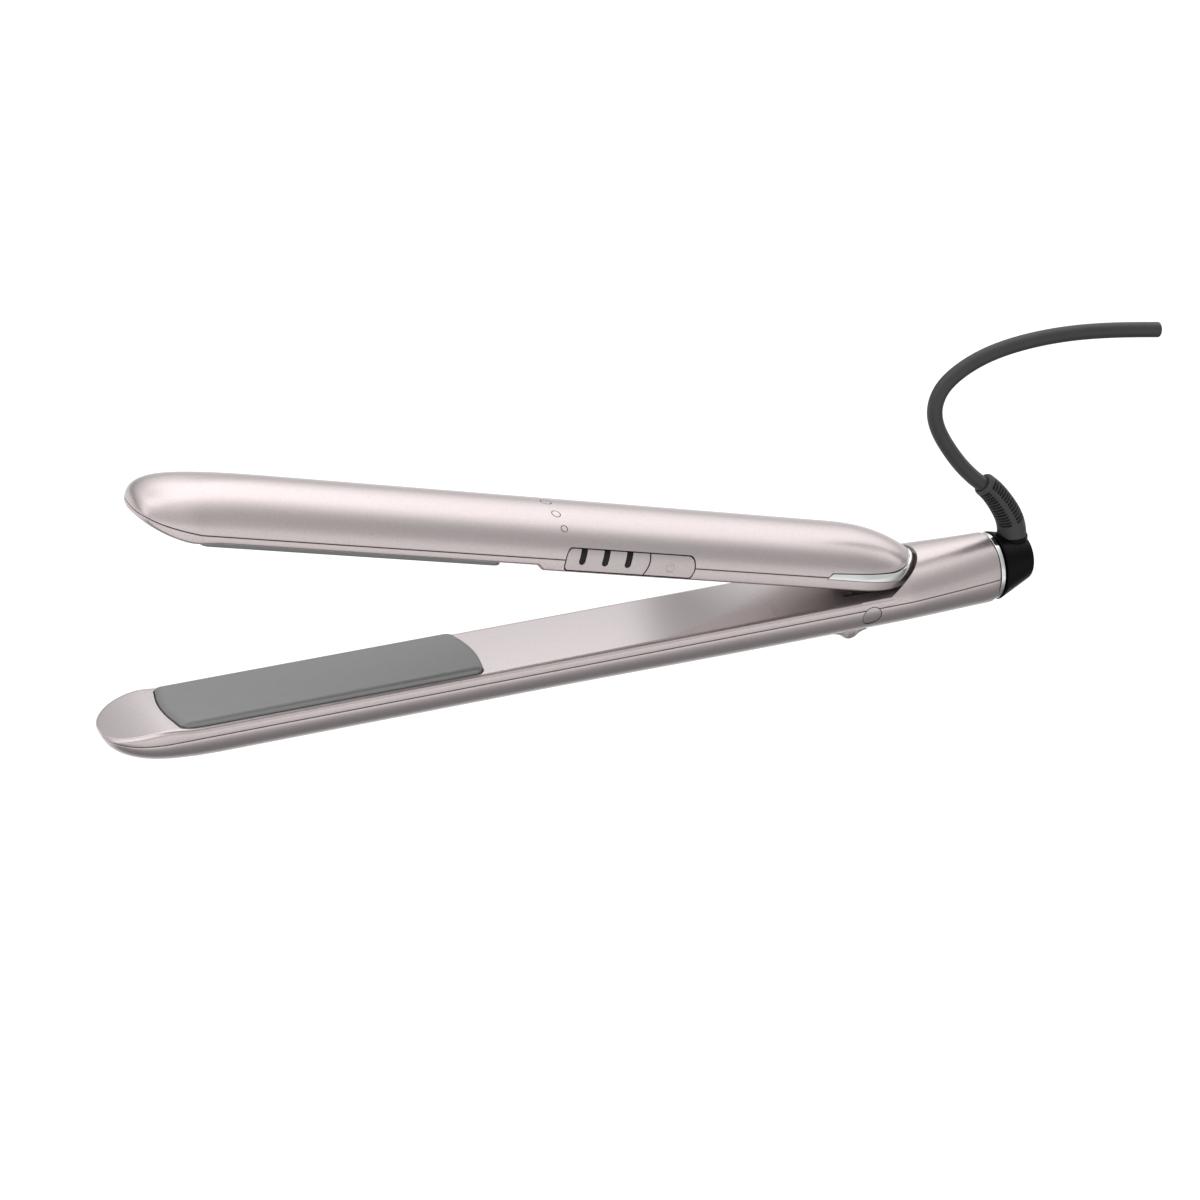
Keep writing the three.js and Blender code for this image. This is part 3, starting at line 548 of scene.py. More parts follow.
def nose_plan(half_width, length, start_x, front_x, power=NOSE_POWER):
    """Plan of a rounded rear end behind straight sides."""
    near = []
    for turn in steps(0, math.pi / 2, 40):
        near.append((
            start_x + length * math.sin(turn) ** (2 / power),
            half_width * max(math.cos(turn), 0) ** (2 / power),
        ))
    far = [(x, -y) for x, y in reversed(near[:-1])]
    return [(front_x, half_width)] + near + far + [(front_x, -half_width)]


# ---- lower arm ----
def cap_bores():
    return [disc_prism(CAP_CENTRE, CAP_RADIUS + 0.22, side * 11.5, side * 17) for side in (-1, 1)]


def belly(stations, inset, shift, lip=LIP):
    return loft("belly", [arch_ring(
        x, lower_half_width(x) - inset, lower_seam_z(x) + shift,
        inset - belly_depth(x) - shift, lip) for x in stations])


def lower_outer_shell():
    outer = belly(LOWER_TIP + steps(-213, TAIL_START, 40)[:-1] + TAIL_X, 0, -SEAM)
    hollow_x = LOWER_TIP[12:] + [-204, -160, -80, 0] + TAIL_X[:-5] + [TAIL_END + 1]
    inner = belly(hollow_x, WALL, 0.5, 0.01)
    rest_land = block(-198, -14, -8, 8, -12, REST_Z)
    lock_slot = block(-9, 1.6, -2, 2, -9, -4)
    return cut(outer, inner, rest_land, lock_slot, *cap_bores())


def lower_slab(stations, inset, shift, drop, lip=LIP):
    return loft("lid", [slab_ring(
        x, lower_half_width(x) - inset, lower_seam_z(x) + shift,
        lower_face_z(x) - drop, lip) for x in stations])


def tail_dome(stations, inset):
    rings = []
    for x in stations:
        rings.append(arch_ring(
            x, lower_half_width(x) - inset,
            lower_seam_z(x) + (-1 if inset else SEAM),
            tail_crown(x) - inset + (1 if inset else -SEAM),
            0.01 if inset else LIP,
        ))
    return loft("dome", rings)


def nose_room(grow):
    """Room in the tail for the rear nose of the upper arm."""
    plan = nose_plan(HALF_WIDTH + 0.3 + grow, 21.7 + grow, 0, -12, 2)
    return prism_z(plan, LOWER_FACE_Z - grow, 30)


def yoke_slots(half_length, z0, z1):
    return [block(-half_length, half_length, side * 7.8 - 1.2, side * 7.8 + 1.2, z0, z1)
            for side in (-1, 1)]


def lower_inner_cover():
    lid = lower_slab(LOWER_TIP + steps(-213, 8, 60), 0, SEAM, 0)
    tail_top = cut(tail_dome(steps(-3, TAIL_START, 12)[:-1] + TAIL_X, 0), nose_room(0))
    lid_hollow = lower_slab(LOWER_TIP[12:] + [-207, -204, -120, 6], COVER_WALL, -1, COVER_WALL, 0.01)
    tail_hollow = cut(
        tail_dome([4, 14, 22, 30, 38, TAIL_END - TAIL_ROUND, TAIL_END + 1], WALL),
        nose_room(COVER_WALL),
    )
    under_tail = lower_slab([3, 14, 24], COVER_WALL, -1, COVER_WALL, 0.01)
    return cut(
        join(lid, tail_top), lid_hollow, tail_hollow, under_tail,
        plate_opening(), *yoke_slots(5.7, 0, 9), *cap_bores(),
    )


def pivot_cap(side):
    """A round cover flush with the side of the arm, across its parting line."""
    wall = join(
        loft("below", [arch_ring(x, HALF_WIDTH + 0.06, LOWER_SEAM_Z + 0.2, -BELLY_DEPTH)
                       for x in (-8, 8)]),
        loft("above", [slab_ring(x, HALF_WIDTH + 0.06, LOWER_SEAM_Z, LOWER_FACE_Z + 0.06)
                       for x in (-8, 8)]),
    )
    return keep_within(disc_prism(CAP_CENTRE, CAP_RADIUS, side * 12.1, side * 17), wall)


def lock_slider():
    """The thumb lock: a humped nub under the belly, its stem, and a hook for the yoke's catch bar."""
    humped = [(-8.2, -7), (-8.2, -8.2)]
    humped += bend((-8.2, -8.2), (-4.4, -9.1), (-2.8, -10.9))
    humped += bend((-2.8, -10.9), (-0.9, -12.5), (0.9, -10.8))
    humped += bend((0.9, -10.8), (1.9, -9.4), (4.0, -9.0))
    humped += [(4.0, -7)]
    rings = []
    for y in steps(-NUB_HALF, NUB_HALF, 24):
        pull = 0.9 - 0.9 * round_end(abs(y) / NUB_HALF, 3)
        rings.append([(x, y, z + pull * max(0, -7.2 - z)) for x, z in humped])
    nub = loft("nub", rings)
    clear = loft("clear", [arch_ring(x, HALF_WIDTH + 0.3, LOWER_SEAM_Z, -(BELLY_DEPTH + 0.3), 0.01)
                           for x in (-16, 12)])
    return join(
        cut(nub, clear),
        block(-3.2, 0.8, -1.6, 1.6, -8.3, -4.6),
        block(-4.3, 4, -2.2, 2.2, -5.2, -4.4),
        block(-4.3, -3.1, -2.2, 2.2, -4.6, 1.1),
        block(-7, -3.5, -2.2, 2.2, 0.4, 1.1),
    )


# ---- upper arm, drawn closed ----
def crown(stations, inset, shift, lip=LIP):
    return loft("crown", [arch_ring(
        x, upper_half_width(x) - inset, upper_seam_z(x) + shift,
        crown_z(x) - upper_seam_z(x) - inset - shift, lip) for x in stations])


def trim_outline(grow):
    """Side view of the chrome band: a narrow strip along the seam that climbs over the rear end."""
    top = bend((4, 14.15 + grow), (13, 14.6 + grow), (19 + grow, 19), 16)
    return [
        (-18.3 - grow, 11.75 - grow), (21 + grow, 11.6 - grow), (21 + grow, 19), *reversed(top),
        (4, 14.15 + grow), (-16.8 - grow, 13.3 + grow),
    ]


def chrome_trim():
    stations = [-20] + rounded_stations(NOSE_START, CHROME_NOSE, NOSE_POWER, 36)
    outer = loft("band", [arch_ring(
        x, upper_half_width(x, CHROME_NOSE) + 0.1, UPPER_SEAM_Z - 0.6,
        crown_z(x) - UPPER_SEAM_Z + 0.7, 0.05) for x in stations])
    inner = prism_z(nose_plan(12.9, NOSE_LENGTH - 0.4, NOSE_START, -22), 7, 21)
    return cut(keep_within(outer, prism_y(trim_outline(0), -20, 20)), inner)


def key_edge(x, grow):
    """The curved edge between the two keys: it bulges to the rear and sweeps forward at the foot."""
    points = []
    top = KEY_TOP + grow
    foot = KEY_BOTTOM - grow
    for share in steps(0, 1, 14):
        points.append((x + 1.3 * share - 2.5 * share * share, top + (foot - top) * share))
    return points


def left_edge(grow):
    """From foot to top: upright, then leaning in to a rounded corner."""
    a = KEY_LEFT - grow
    points = [(a + 1.0, KEY_BOTTOM - grow)]
    points += bend((a + 1.0, KEY_BOTTOM - grow), (a, KEY_BOTTOM - grow), (a, KEY_BOTTOM + 1.4))
    points += bend((a, 12.4), (a + 0.1, 14.2), (a + 0.7, KEY_TOP - 0.7 + grow))
    top = KEY_TOP + grow
    points += bend((a + 0.7, top - 0.7), (a + 1.0, top), (a + 2.0, top))
    return points


def right_edge(grow):
    """From top to foot, with a rounded corner at the top."""
    b = KEY_RIGHT + grow
    top = KEY_TOP + grow
    foot = KEY_BOTTOM - grow
    points = [(b - 2.4, top)]
    points += bend((b - 2.4, top), (b - 0.6, top), (b - 0.15, KEY_TOP - 1.9))
    points += bend((b - 0.15, KEY_TOP - 1.9), (b + 0.4, 11.6), (b - 0.2, KEY_BOTTOM + 1.2))
    points += bend((b - 0.2, KEY_BOTTOM + 1.2), (b - 0.5, foot), (b - 1.5, foot))
    return points


def keys_opening():
    return prism_y(left_edge(KEY_ROOM) + right_edge(KEY_ROOM), -18, -11)


def dot_prism(dot, depth, height, shrink):
    """A round bar square to the crown at the dot, from the depth below it to the height above."""
    x, tilt, radius = dot
    angle = math.radians(tilt)
    rise = crown_z(x) - UPPER_SEAM_Z
    foot = Vector((x, -HALF_WIDTH * math.sin(angle), UPPER_SEAM_Z + rise * math.cos(angle)))
    normal = Vector((0, -rise * math.sin(angle), HALF_WIDTH * math.cos(angle))).normalized()
    across = normal.cross(Vector((1, 0, 0)))
    rings = []
    for level in (-depth, height):
        middle = foot + normal * level
        rings.append([
            middle + Vector((a, 0, 0)) + across * b for a, b in circle(radius - shrink, 40)
        ])
    return loft("dot", rings)


def marker_dot(dot):
    return keep_within(dot_prism(dot, 0.75, 2, 0.27), crown(steps(-115, -95, 10), 0, 0))


def upper_outer_shell():
    hollow_x = UPPER_TIP[12:] + [-204, -190, -120, -60, -30, -18] + REAR_NOSE[:18]
    hollow = crown(hollow_x, WALL, -0.5, 0.01)
    pockets = [dot_prism(dot, 0.9, 3, 0) for dot in DOTS.values()]
    return cut(
        crown(CROWN_X, 0, SEAM), hollow,
        prism_y(trim_outline(0.3), -20, 20), keys_opening(), *pockets,
    )


def upper_slab(stations, inset, shift, rise, lip=LIP):
    return loft("slab", [slab_ring(
        x, upper_half_width(x, COVER_NOSE) - inset, upper_seam_z(x) + shift,
        upper_face_z(x) + rise, lip) for x in stations])


def mirror_in_closing_plane(piece):
    piece.data.transform(Matrix.Translation((0, 0, 2 * CLOSING_Z)) @ Matrix.Diagonal((1, 1, -1, 1)))
    piece.data.flip_normals()
    return piece


def upper_inner_cover():
    hollow_x = UPPER_TIP[12:] + steps(-213, -114, 8) + STEP_X + [-60, -18] + COVER_NOSE_X[:18]
    hollow = upper_slab(hollow_x, COVER_WALL, 1, COVER_WALL, 0.01)
    return cut(
        upper_slab(COVER_X, 0, -SEAM, 0), hollow,
        prism_y(trim_outline(0.2), -20, 20), keys_opening(),
        mirror_in_closing_plane(plate_opening()), *yoke_slots(4.4, 5, 11),
    )


def key_wall(proud):
    """The side wall of the arm, along which the keys lie."""
    stations = steps(-112, -56, 14)
    above = loft("above", [arch_ring(
        x, HALF_WIDTH + proud, UPPER_SEAM_Z - 0.3, crown_z(x) - UPPER_SEAM_Z + 0.3 + proud, 0.01)
        for x in stations])
    below = loft("below", [slab_ring(
        x, HALF_WIDTH + proud, UPPER_SEAM_Z, HANDLE_FACE_Z - proud, 0.01) for x in stations])
    return join(above, below)


def window_outline(x, grow):
    """A slot open at the top of the key, with a round foot, leaning slightly to the rear."""
    half = WINDOW_HALF + grow
    foot = []
    for turn in steps(math.pi, 2 * math.pi, 14):
        foot.append((x + half * math.cos(turn), 12.0 + half * math.sin(turn)))
    lean = 0.5
    return foot + [(x + half + lean, 17), (x - half + lean, 17)]


def temperature_key():
    outline = left_edge(0) + key_edge(KEY_SPLIT, 0)
    key = keep_within(prism_y(outline, -18, KEY_INNER_Y), key_wall(0))
    return cut(key, *[prism_y(window_outline(x, 0), -18, -12) for x in WINDOW_X])


def power_key():
    outline = right_edge(0) + list(reversed(key_edge(KEY_SPLIT + 0.45, 0)))
    return keep_within(prism_y(outline, -18, KEY_INNER_Y), key_wall(0))


def light_guide():
    """Three dark windows on one bar behind the temperature key."""
    outline = left_edge(0.01) + key_edge(KEY_SPLIT, 0)
    windows = []
    for x in WINDOW_X:
        window = keep_within(prism_y(window_outline(x, -0.12), -18, -12.9), key_wall(-0.12))
        window = keep_within(window, prism_y(outline, -19, -11))
        windows.append(window)
    bar = block(-101.5, -83.3, -13.2, -12.25, 12.9, 14.6)
    return join(bar, *windows)


def key_surface_y(z):
    """Where the face of a key lies at a height."""
    if z < UPPER_SEAM_Z:
        return -HALF_WIDTH
    rise = CROWN_Z - UPPER_SEAM_Z
    return -HALF_WIDTH * math.sqrt(1 - ((z - UPPER_SEAM_Z) / rise) ** 2)


def ridge(path):
    """A low raised line on the face of a key, along points (x, z)."""
    last = len(path) - 1
    rings = []
    for i, (x, z) in enumerate(path):
        along = (Vector(path[min(i + 1, last)]) - Vector(path[max(i - 1, 0)])).normalized()
        ring = []
        for across, out in circle(1, 12):
            side = MARK_HALF * across
            height = z + side * along.x
            ring.append((x - side * along.y, key_surface_y(height) + MARK_RISE * out, height))
        rings.append(ring)
    return loft("ridge", rings)


def power_mark():
    """A raised ring, broken at the top by a short bar, on the power key."""
    x, z = MARK_CENTRE
    arc = steps(math.radians(38), math.radians(322), 40)
    ring = [(x + MARK_RADIUS * math.sin(turn), z + MARK_RADIUS * math.cos(turn)) for turn in arc]
    bar = [(x, height) for height in steps(z + 0.1, z + 1.55, 6)]
    return join(ridge(ring), ridge(bar))


# ---- tail and cord ----
def chrome_ring():
    """The bright ring between tail and head: rounded in front, flat on top, sloping at the rear."""
    profile = [(5.5, 47.25), (9.9, 47.25)]
    profile += [(10.1 + 0.25 * math.sin(turn), 47.5 - 0.25 * math.cos(turn))
                for turn in steps(0, math.pi / 2, 6)]
    profile += [(10.32, 48.5), (10.15, 48.75), (9.7, 49.1), (5.5, 49.1)]
    return lathe("ring", profile, TAIL_AXIS_Z + 0.1)


def head_section(x):
    """Centre height and radius of the swivel head: a leaning cone with rounded edges."""
    centre = 2.35 + 0.12 * (x - 50)
    radius = 10.4 - 0.325 * (x - 50)
    front = edge_drop(HEAD_START + HEAD_LIP - x, HEAD_LIP)
    rear = edge_drop(x - HEAD_END + HEAD_EDGE, HEAD_EDGE)
    return centre, radius - front - rear


def boot_collar():
    """A low round collar where the boot leaves the head."""
    profile = [(3.6, 6), (4.45, 9), (COLLAR_R, 10.4), (COLLAR_R, 11.3)]
    profile += [(COLLAR_R - 0.08, 11.55), (COLLAR_R - 0.3, 11.75), (COLLAR_R - 0.5, 11.8)]
    return loft("collar", [upright_ring(BOOT_X, radius, z, 64) for radius, z in profile])


def swivel_head():
    lip_end = HEAD_START + HEAD_LIP
    edge_start = HEAD_END - HEAD_EDGE
    places = [HEAD_START, HEAD_START + 0.04, HEAD_START + 0.12, lip_end]
    places += steps(lip_end + 0.85, edge_start, 10)
    places += [edge_start + HEAD_EDGE * math.sin(turn) for turn in steps(0, math.radians(88), 8)[1:]]
    rings = []
    for x in places:
        centre, radius = head_section(x)
        rings.append([(x, across, centre + up) for across, up in circle(radius, 96)])
    stem_seat = lathe("seat", [(0.01, 48), (5.1, 48), (5.1, 53.8), (0.01, 53.8)], TAIL_AXIS_Z, 32)
    boot_seat = loft("seat", [upright_ring(BOOT_X, BOOT_ROOT_R + 0.02, z, 48) for z in (8.2, 20)])
    return cut(join(loft("head", rings), boot_collar()), stem_seat, boot_seat)


def slot_depth(share, angle):
    """Depth of the cross slots in the boot; angle 0 faces -Y and grows to the outside of the bend."""
    along = (share - SLOT_START) / (SLOT_END - SLOT_START) * SLOT_COUNT
    if not 0 < along < SLOT_COUNT:
        return 0
    rib = fade((abs(along % 1 - 0.5) - 0.24) / 0.12)
    turn = math.degrees(angle)
    turn = turn if turn <= 180 else turn - 360
    side = turn if abs(turn) <= 90 else math.copysign(180, turn) - turn
    inner_row = fade((side + 84) / 7) * fade((-18 - side) / 7)
    outer_row = fade((side - 4) / 7) * fade((60 - side) / 7)
    return SLOT_DEPTH * (1 - rib) * max(inner_row, outer_row)


def boot_radius(share, angle):
    """The boot narrows evenly and is rounded over at its end."""
    taper = (BOOT_ROOT_R - BOOT_TIP_R) * share
    rounding = 0.9 * edge_drop((share - 0.965) / 0.035, 1)
    return BOOT_ROOT_R - taper - rounding - slot_depth(share, angle)


def cord_boot():
    path = smooth_path(BOOT_PATH, 210)
    bore = sweep("bore", smooth_path(CORD_PATH[:7], 30), lambda share, angle: CORD_R + 0.25, 32)
    return cut(sweep("boot", path, boot_radius, 72), bore)


def cord_jacket():
    return sweep("cord", smooth_path(CORD_PATH, 200), lambda share, angle: CORD_R, 40)


def cord_core(side):
    """One insulated core, standing just out of the cut end of the cord."""
    end = Vector(CORD_PATH[-1])
    along = (end - Vector(CORD_PATH[-2])).normalized()
    profile = [(0.6, -6), (0.6, 0.25), (0.5, 0.35), (0.36, 0.35), (0.36, 0.75), (0.3, 0.8)]
    rings = []
    for radius, depth in profile:
        centre = end + along * depth
        rings.append([
            (centre.x - up * along.y, side * 0.85 + across, centre.y + up * along.x)
            for across, up in circle(radius, 24)
        ])
    return loft("core", rings)


# ---- finishes ----
def linear(red, green, blue):
    """Scene colour of a screen colour given from 0 to 255."""
    def channel(value):
        v = value / 255
        return v / 12.92 if v <= 0.04045 else ((v + 0.055) / 1.055) ** 2.4
    return (channel(red), channel(green), channel(blue), 1)


def math_node(tree, operation, *values):
    """The result of a math node fed with sockets or plain numbers."""
    node = tree.nodes.new("ShaderNodeMath")
    node.operation = operation
    for slot, value in zip(node.inputs, values):
        if isinstance(value, (int, float)):
            slot.default_value = value
        else:
            tree.links.new(value, slot)
    return node.outputs["Value"]


class Finish:
    """A procedural material; its patterns are laid in space, in features per metre."""

    def __init__(self, name, metallic=0.0):
        self.material = bpy.data.materials.new(name)
        self.material.use_nodes = True
        self.tree = self.material.node_tree
        self.shader = self.tree.nodes["Principled BSDF"]
        self.shader.inputs["Metallic"].default_value = metallic
        self.place = self.tree.nodes.new("ShaderNodeTexCoord")

    def link(self, out_socket, in_socket):
        self.tree.links.new(out_socket, in_socket)

    def noise(self, scale, detail=3.0):
        node = self.tree.nodes.new("ShaderNodeTexNoise")
        node.inputs["Scale"].default_value = scale
        node.inputs["Detail"].default_value = detail
        self.link(self.place.outputs["Object"], node.inputs["Vector"])
        return node.outputs["Fac"]

    def flakes(self, scale):
        node = self.tree.nodes.new("ShaderNodeTexVoronoi")
        node.inputs["Scale"].default_value = scale
        self.link(self.place.outputs["Object"], node.inputs["Vector"])
        return node.outputs["Color"]

    def colour(self, pattern, dark, light):
        mix = self.tree.nodes.new("ShaderNodeMix")
        mix.data_type = "RGBA"
        mix.inputs["A"].default_value = dark
        mix.inputs["B"].default_value = light
        self.link(pattern, mix.inputs["Factor"])
        self.link(mix.outputs["Result"], self.shader.inputs["Base Color"])
        return self

    def roughness(self, pattern, low, high):
        spread = self.tree.nodes.new("ShaderNodeMapRange")
        spread.inputs["To Min"].default_value = low
        spread.inputs["To Max"].default_value = high
        self.link(pattern, spread.inputs["Value"])
        self.link(spread.outputs["Result"], self.shader.inputs["Roughness"])
        return self

    def rougher_toward(self, start_x, end_x, most):
        """Roughness that grows along X from its present value to the most at end_x."""
        split = self.tree.nodes.new("ShaderNodeSeparateXYZ")
        self.link(self.place.outputs["Object"], split.inputs["Vector"])
        spread = self.tree.nodes.new("ShaderNodeMapRange")
        spread.inputs["From Min"].default_value = start_x
        spread.inputs["From Max"].default_value = end_x
        spread.inputs["To Max"].default_value = most
        self.link(split.outputs["X"], spread.inputs["Value"])
        present = self.shader.inputs["Roughness"].links[0].from_socket
        total = math_node(self.tree, "ADD", present, spread.outputs["Result"])
        self.link(total, self.shader.inputs["Roughness"])
        return self

    def bump(self, pattern, strength, depth_mm):
        node = self.tree.nodes.new("ShaderNodeBump")
        node.inputs["Strength"].default_value = strength
        node.inputs["Distance"].default_value = depth_mm * MM
        self.link(pattern, node.inputs["Height"])
        self.link(node.outputs["Normal"], self.shader.inputs["Normal"])
        return self

    def coat(self, weight, roughness):
        self.shader.inputs["Coat Weight"].default_value = weight
        self.shader.inputs["Coat Roughness"].default_value = roughness
        return self


def shell_paint():
    look = Finish("shell_paint_finish", 0.82)
    look.colour(look.flakes(2600), linear(208, 196, 196), linear(217, 207, 207))
    look.roughness(look.noise(900), 0.27, 0.33)
    look.bump(look.noise(5200), 0.1, 0.01)
    return look.coat(0.12, 0.2).material


def cover_paint():
    look = Finish("cover_paint_finish", 0.85)
    look.colour(look.flakes(2600), linear(204, 195, 195), linear(208, 200, 200))
    look.roughness(look.noise(700), 0.06, 0.08)
    look.rougher_toward(HINGE.x - 0.05, HINGE.x - 0.02, 0.3)
    return look.material


def key_paint():
    look = Finish("key_paint_finish", 0.75)
    look.colour(look.flakes(3000), linear(202, 191, 191), linear(210, 201, 201))
    look.roughness(look.noise(900), 0.3, 0.36)
    look.bump(look.noise(5200), 0.1, 0.01)
    return look.material


def plate_coating():
    look = Finish("plate_coating_finish", 0.45)
    look.colour(look.noise(400), linear(135, 136, 135), linear(141, 142, 141))
    look.roughness(look.noise(1500), 0.36, 0.44)
    look.bump(look.noise(9000), 0.12, 0.01)
    return look.material


def chrome():
    look = Finish("chrome_finish", 1.0)
    look.colour(look.noise(120), linear(226, 228, 228), linear(236, 237, 237))
    look.roughness(look.noise(600), 0.04, 0.08)
    return look.material


def satin_black():
    look = Finish("satin_black_finish")
    look.colour(look.noise(500), linear(5, 5, 6), linear(9, 9, 10))
    look.shader.inputs["Specular IOR Level"].default_value = 0.1
    look.roughness(look.noise(1200), 0.3, 0.38)
    look.bump(look.noise(7000), 0.12, 0.01)
    return look.material


def boot_rubber():
    look = Finish("boot_rubber_finish")
    look.colour(look.noise(350), linear(56, 55, 55), linear(66, 65, 65))
    look.roughness(look.noise(900), 0.5, 0.62)
    look.bump(look.noise(4500), 0.3, 0.02)
    return look.material


def cord_sheath():
    look = Finish("cord_sheath_finish")
    look.colour(look.noise(220), linear(52, 52, 52), linear(60, 60, 60))
    look.roughness(look.noise(700), 0.42, 0.55)
    look.bump(look.noise(3500), 0.25, 0.02)
    return look.material


def window_plastic():
    look = Finish("window_plastic_finish")
    look.colour(look.noise(800), linear(5, 5, 6), linear(12, 13, 14))
    look.shader.inputs["Specular IOR Level"].default_value = 0.3
    look.roughness(look.noise(900), 0.12, 0.2)
    return look.material


def sleeve(name, dark, light):
    look = Finish(name)
    look.colour(look.noise(900), dark, light)
    look.roughness(look.noise(900), 0.4, 0.5)
    return look.material


def bare_metal(name, dark, light, low, high):
    look = Finish(name, 1.0)
    look.colour(look.noise(700), dark, light)
    look.roughness(look.noise(2500), low, high)
    look.bump(look.noise(3500), 0.15, 0.01)
    return look.material


def moulded(name, dark, light, low, high, grain=3500):
    look = Finish(name)
    look.colour(look.noise(600), dark, light)
    look.roughness(look.noise(grain), low, high)
    look.bump(look.noise(grain), 0.2, 0.015)
    return look.material


PAINT = shell_paint()
COVER = cover_paint()
KEYS = key_paint()
PLATE = plate_coating()
CHROME = chrome()
BLACK = satin_black()
BOOT = boot_rubber()
CORD = cord_sheath()
WINDOW = window_plastic()
BROWN = sleeve("core_brown_finish", linear(96, 60, 34), linear(118, 76, 46))
BLUE = sleeve("core_blue_finish", linear(36, 78, 132), linear(52, 100, 158))
SLOT_FINISH = {
    "shell_paint": PAINT,
    "cover_paint": COVER,
    "key_paint": KEYS,
    "plate_coating": PLATE,
    "chrome_trim": CHROME,
    "black_plastic": BLACK,
    "window_plastic": WINDOW,
    "boot_rubber": BOOT,
    "cord_sheath": CORD,
    "core_brown": BROWN,
    "core_blue": BLUE,
    "steel": bare_metal("steel_finish", linear(140, 142, 146), linear(172, 174, 178), 0.28, 0.42),
    "spring_steel": bare_metal("spring_finish", linear(96, 98, 102), linear(128, 130, 134), 0.3, 0.45),
    "carrier_plastic": moulded("carrier_finish", linear(38, 35, 32), linear(50, 46, 42), 0.55, 0.7),
    "heater_ceramic": moulded(
        "ceramic_finish", linear(222, 214, 198), linear(238, 232, 220), 0.5, 0.65, 5000),
    "circuit_board": moulded("board_finish", linear(20, 76, 44), linear(34, 100, 60), 0.35, 0.5, 1200),
    "led_plastic": moulded("led_finish", linear(232, 228, 214), linear(246, 243, 232), 0.2, 0.3),
}


def dress_frame():
    """Gives every node of the frame the finish of its material slot, and the yoke a darker one."""
    for part in frame["record"]["subparts"]:
        node = frame["nodes"][part["node"]]
        node.data.materials.clear()
        node.data.materials.append(SLOT_FINISH[part["material_slot"]])
    yoke = frame["nodes"]["hinge_yoke"]
    yoke.data.materials[0] = moulded("yoke_finish", linear(44, 38, 38), linear(54, 47, 47), 0.5, 0.6)


# ---- assembly ----
def add_lower_arm():
    arm = "lower_arm"
    settle(lower_outer_shell(), "belly_shell", LOWER, arm, PAINT, "shell_paint", "lower_outer_shell")
    lid = settle(lower_inner_cover(), "lower_lid", LOWER, arm, COVER, "cover_paint", "lower_inner_cover")
    satin_edges(lid, Vector((0, 0, 1)))
    settle(pivot_cap(-1), "near_pivot_cap", LOWER, arm, PAINT, "shell_paint", "pivot_cap_near")
    settle(pivot_cap(1), "far_pivot_cap", LOWER, arm, PAINT, "shell_paint", "pivot_cap_far")
    settle(chrome_ring(), "tail_ring", LOWER, arm, CHROME, "chrome_trim", "tail_chrome_ring")
    settle(lock_slider(), "thumb_lock", LOWER, "lock_slider", PAINT, "shell_paint", "lock_slider")
    plate = join(heating_plate("plate"), *plate_rails())
    settle(plate, "lower_glide_plate", LOWER, "lower_plate_set", PLATE, "plate_coating", "lower_plate")


def add_upper_arm():
    arm = "upper_arm"
    settle(upper_outer_shell(), "crown_shell", UPPER, arm, PAINT, "shell_paint", "upper_outer_shell")
    lid = settle(upper_inner_cover(), "upper_lid", UPPER, arm, COVER, "cover_paint", "upper_inner_cover")
    satin_edges(lid, -LIFT_AXIS)
    settle(chrome_trim(), "nose_trim", UPPER, arm, CHROME, "chrome_trim", "upper_chrome_trim")
    for node, dot in DOTS.items():
        settle(marker_dot(dot), "inlay_" + node, UPPER, arm, PAINT, "key_paint", node)
    plate = mirror_in_closing_plane(join(heating_plate("plate"), *plate_rails()))
    settle(plate, "upper_glide_plate", UPPER, "upper_plate_set", PLATE, "plate_coating", "upper_plate")
    key = "temperature_key"
    settle(temperature_key(), "temperature_rocker", UPPER, key, KEYS, "key_paint", "temperature_key")
    settle(light_guide(), "indicator_windows", UPPER, key, WINDOW, "window_plastic",
           "temperature_light_guide")
    settle(power_key(), "power_button", UPPER, "power_key", KEYS, "key_paint", "power_key")
    settle(power_mark(), "power_symbol", UPPER, "power_key", KEYS, "key_paint")


def add_cord():
    swivel = "cord_swivel"
    settle(swivel_head(), "cord_head", LOWER, swivel, BLACK, "black_plastic", "swivel_head")
    settle(cord_boot(), "strain_relief", LOWER, swivel, BOOT, "boot_rubber", "cord_boot")
    settle(cord_jacket(), "power_cord", LOWER, swivel, CORD, "cord_sheath", "cord_jacket")
    settle(cord_core(-1), "live_core", LOWER, swivel, BROWN, "core_brown", "cord_core_live")
    settle(cord_core(1), "neutral_core", LOWER, swivel, BLUE, "core_blue", "cord_core_neutral")


# ---- studio ----
# Brightness of the studio seen in each direction, by the angle about the X axis in degrees:
# 0 is the horizon in front, 90 is overhead, 180 is the horizon behind.
STUDIO = [
    (-180, 0.8), (-150, 1.05), (-130, 0.8), (-108, 0.2), (-75, 0.2), (-50, 0.36), (-28, 1.0),
    (0, 1.08), (10, 0.84), (18, 0.68), (50, 0.66), (64, 0.8), (80, 1.06), (98, 1.45), (138, 1.5),
    (152, 1.2), (163, 0.75), (172, 0.45), (180, 0.5),
]
BRIGHTEST = 1.5
# A dark panel hung at the back, seen mirrored in the flat inner face near the hinge.
PANEL_X = (0.379, 0.44)
PANEL_Z = (0.25, 0.6)
PANEL_LEVEL = 0.45
# The sky at the back falls off toward the tips of the arms, and the front toward the cord end.
# Each holds the x of the directions between which it sets in, and the share of light that is left.
BACK_FALLOFF = ((0.36, -0.1), 0.55)
FRONT_FALLOFF = ((0.32, 0.62), 0.62)
FLOOR_DROP = 0.02
FLOOR_HALF = 6
# The camera stands on the key side, in front of the plates, and looks slightly down along the arms.
CAMERA_FROM_HINGE = (-0.45875, -0.85318, 0.44449)
CAMERA_TOWARD = (0.3674, 0.8307, -0.4182)
CAMERA_LENS = 106.03


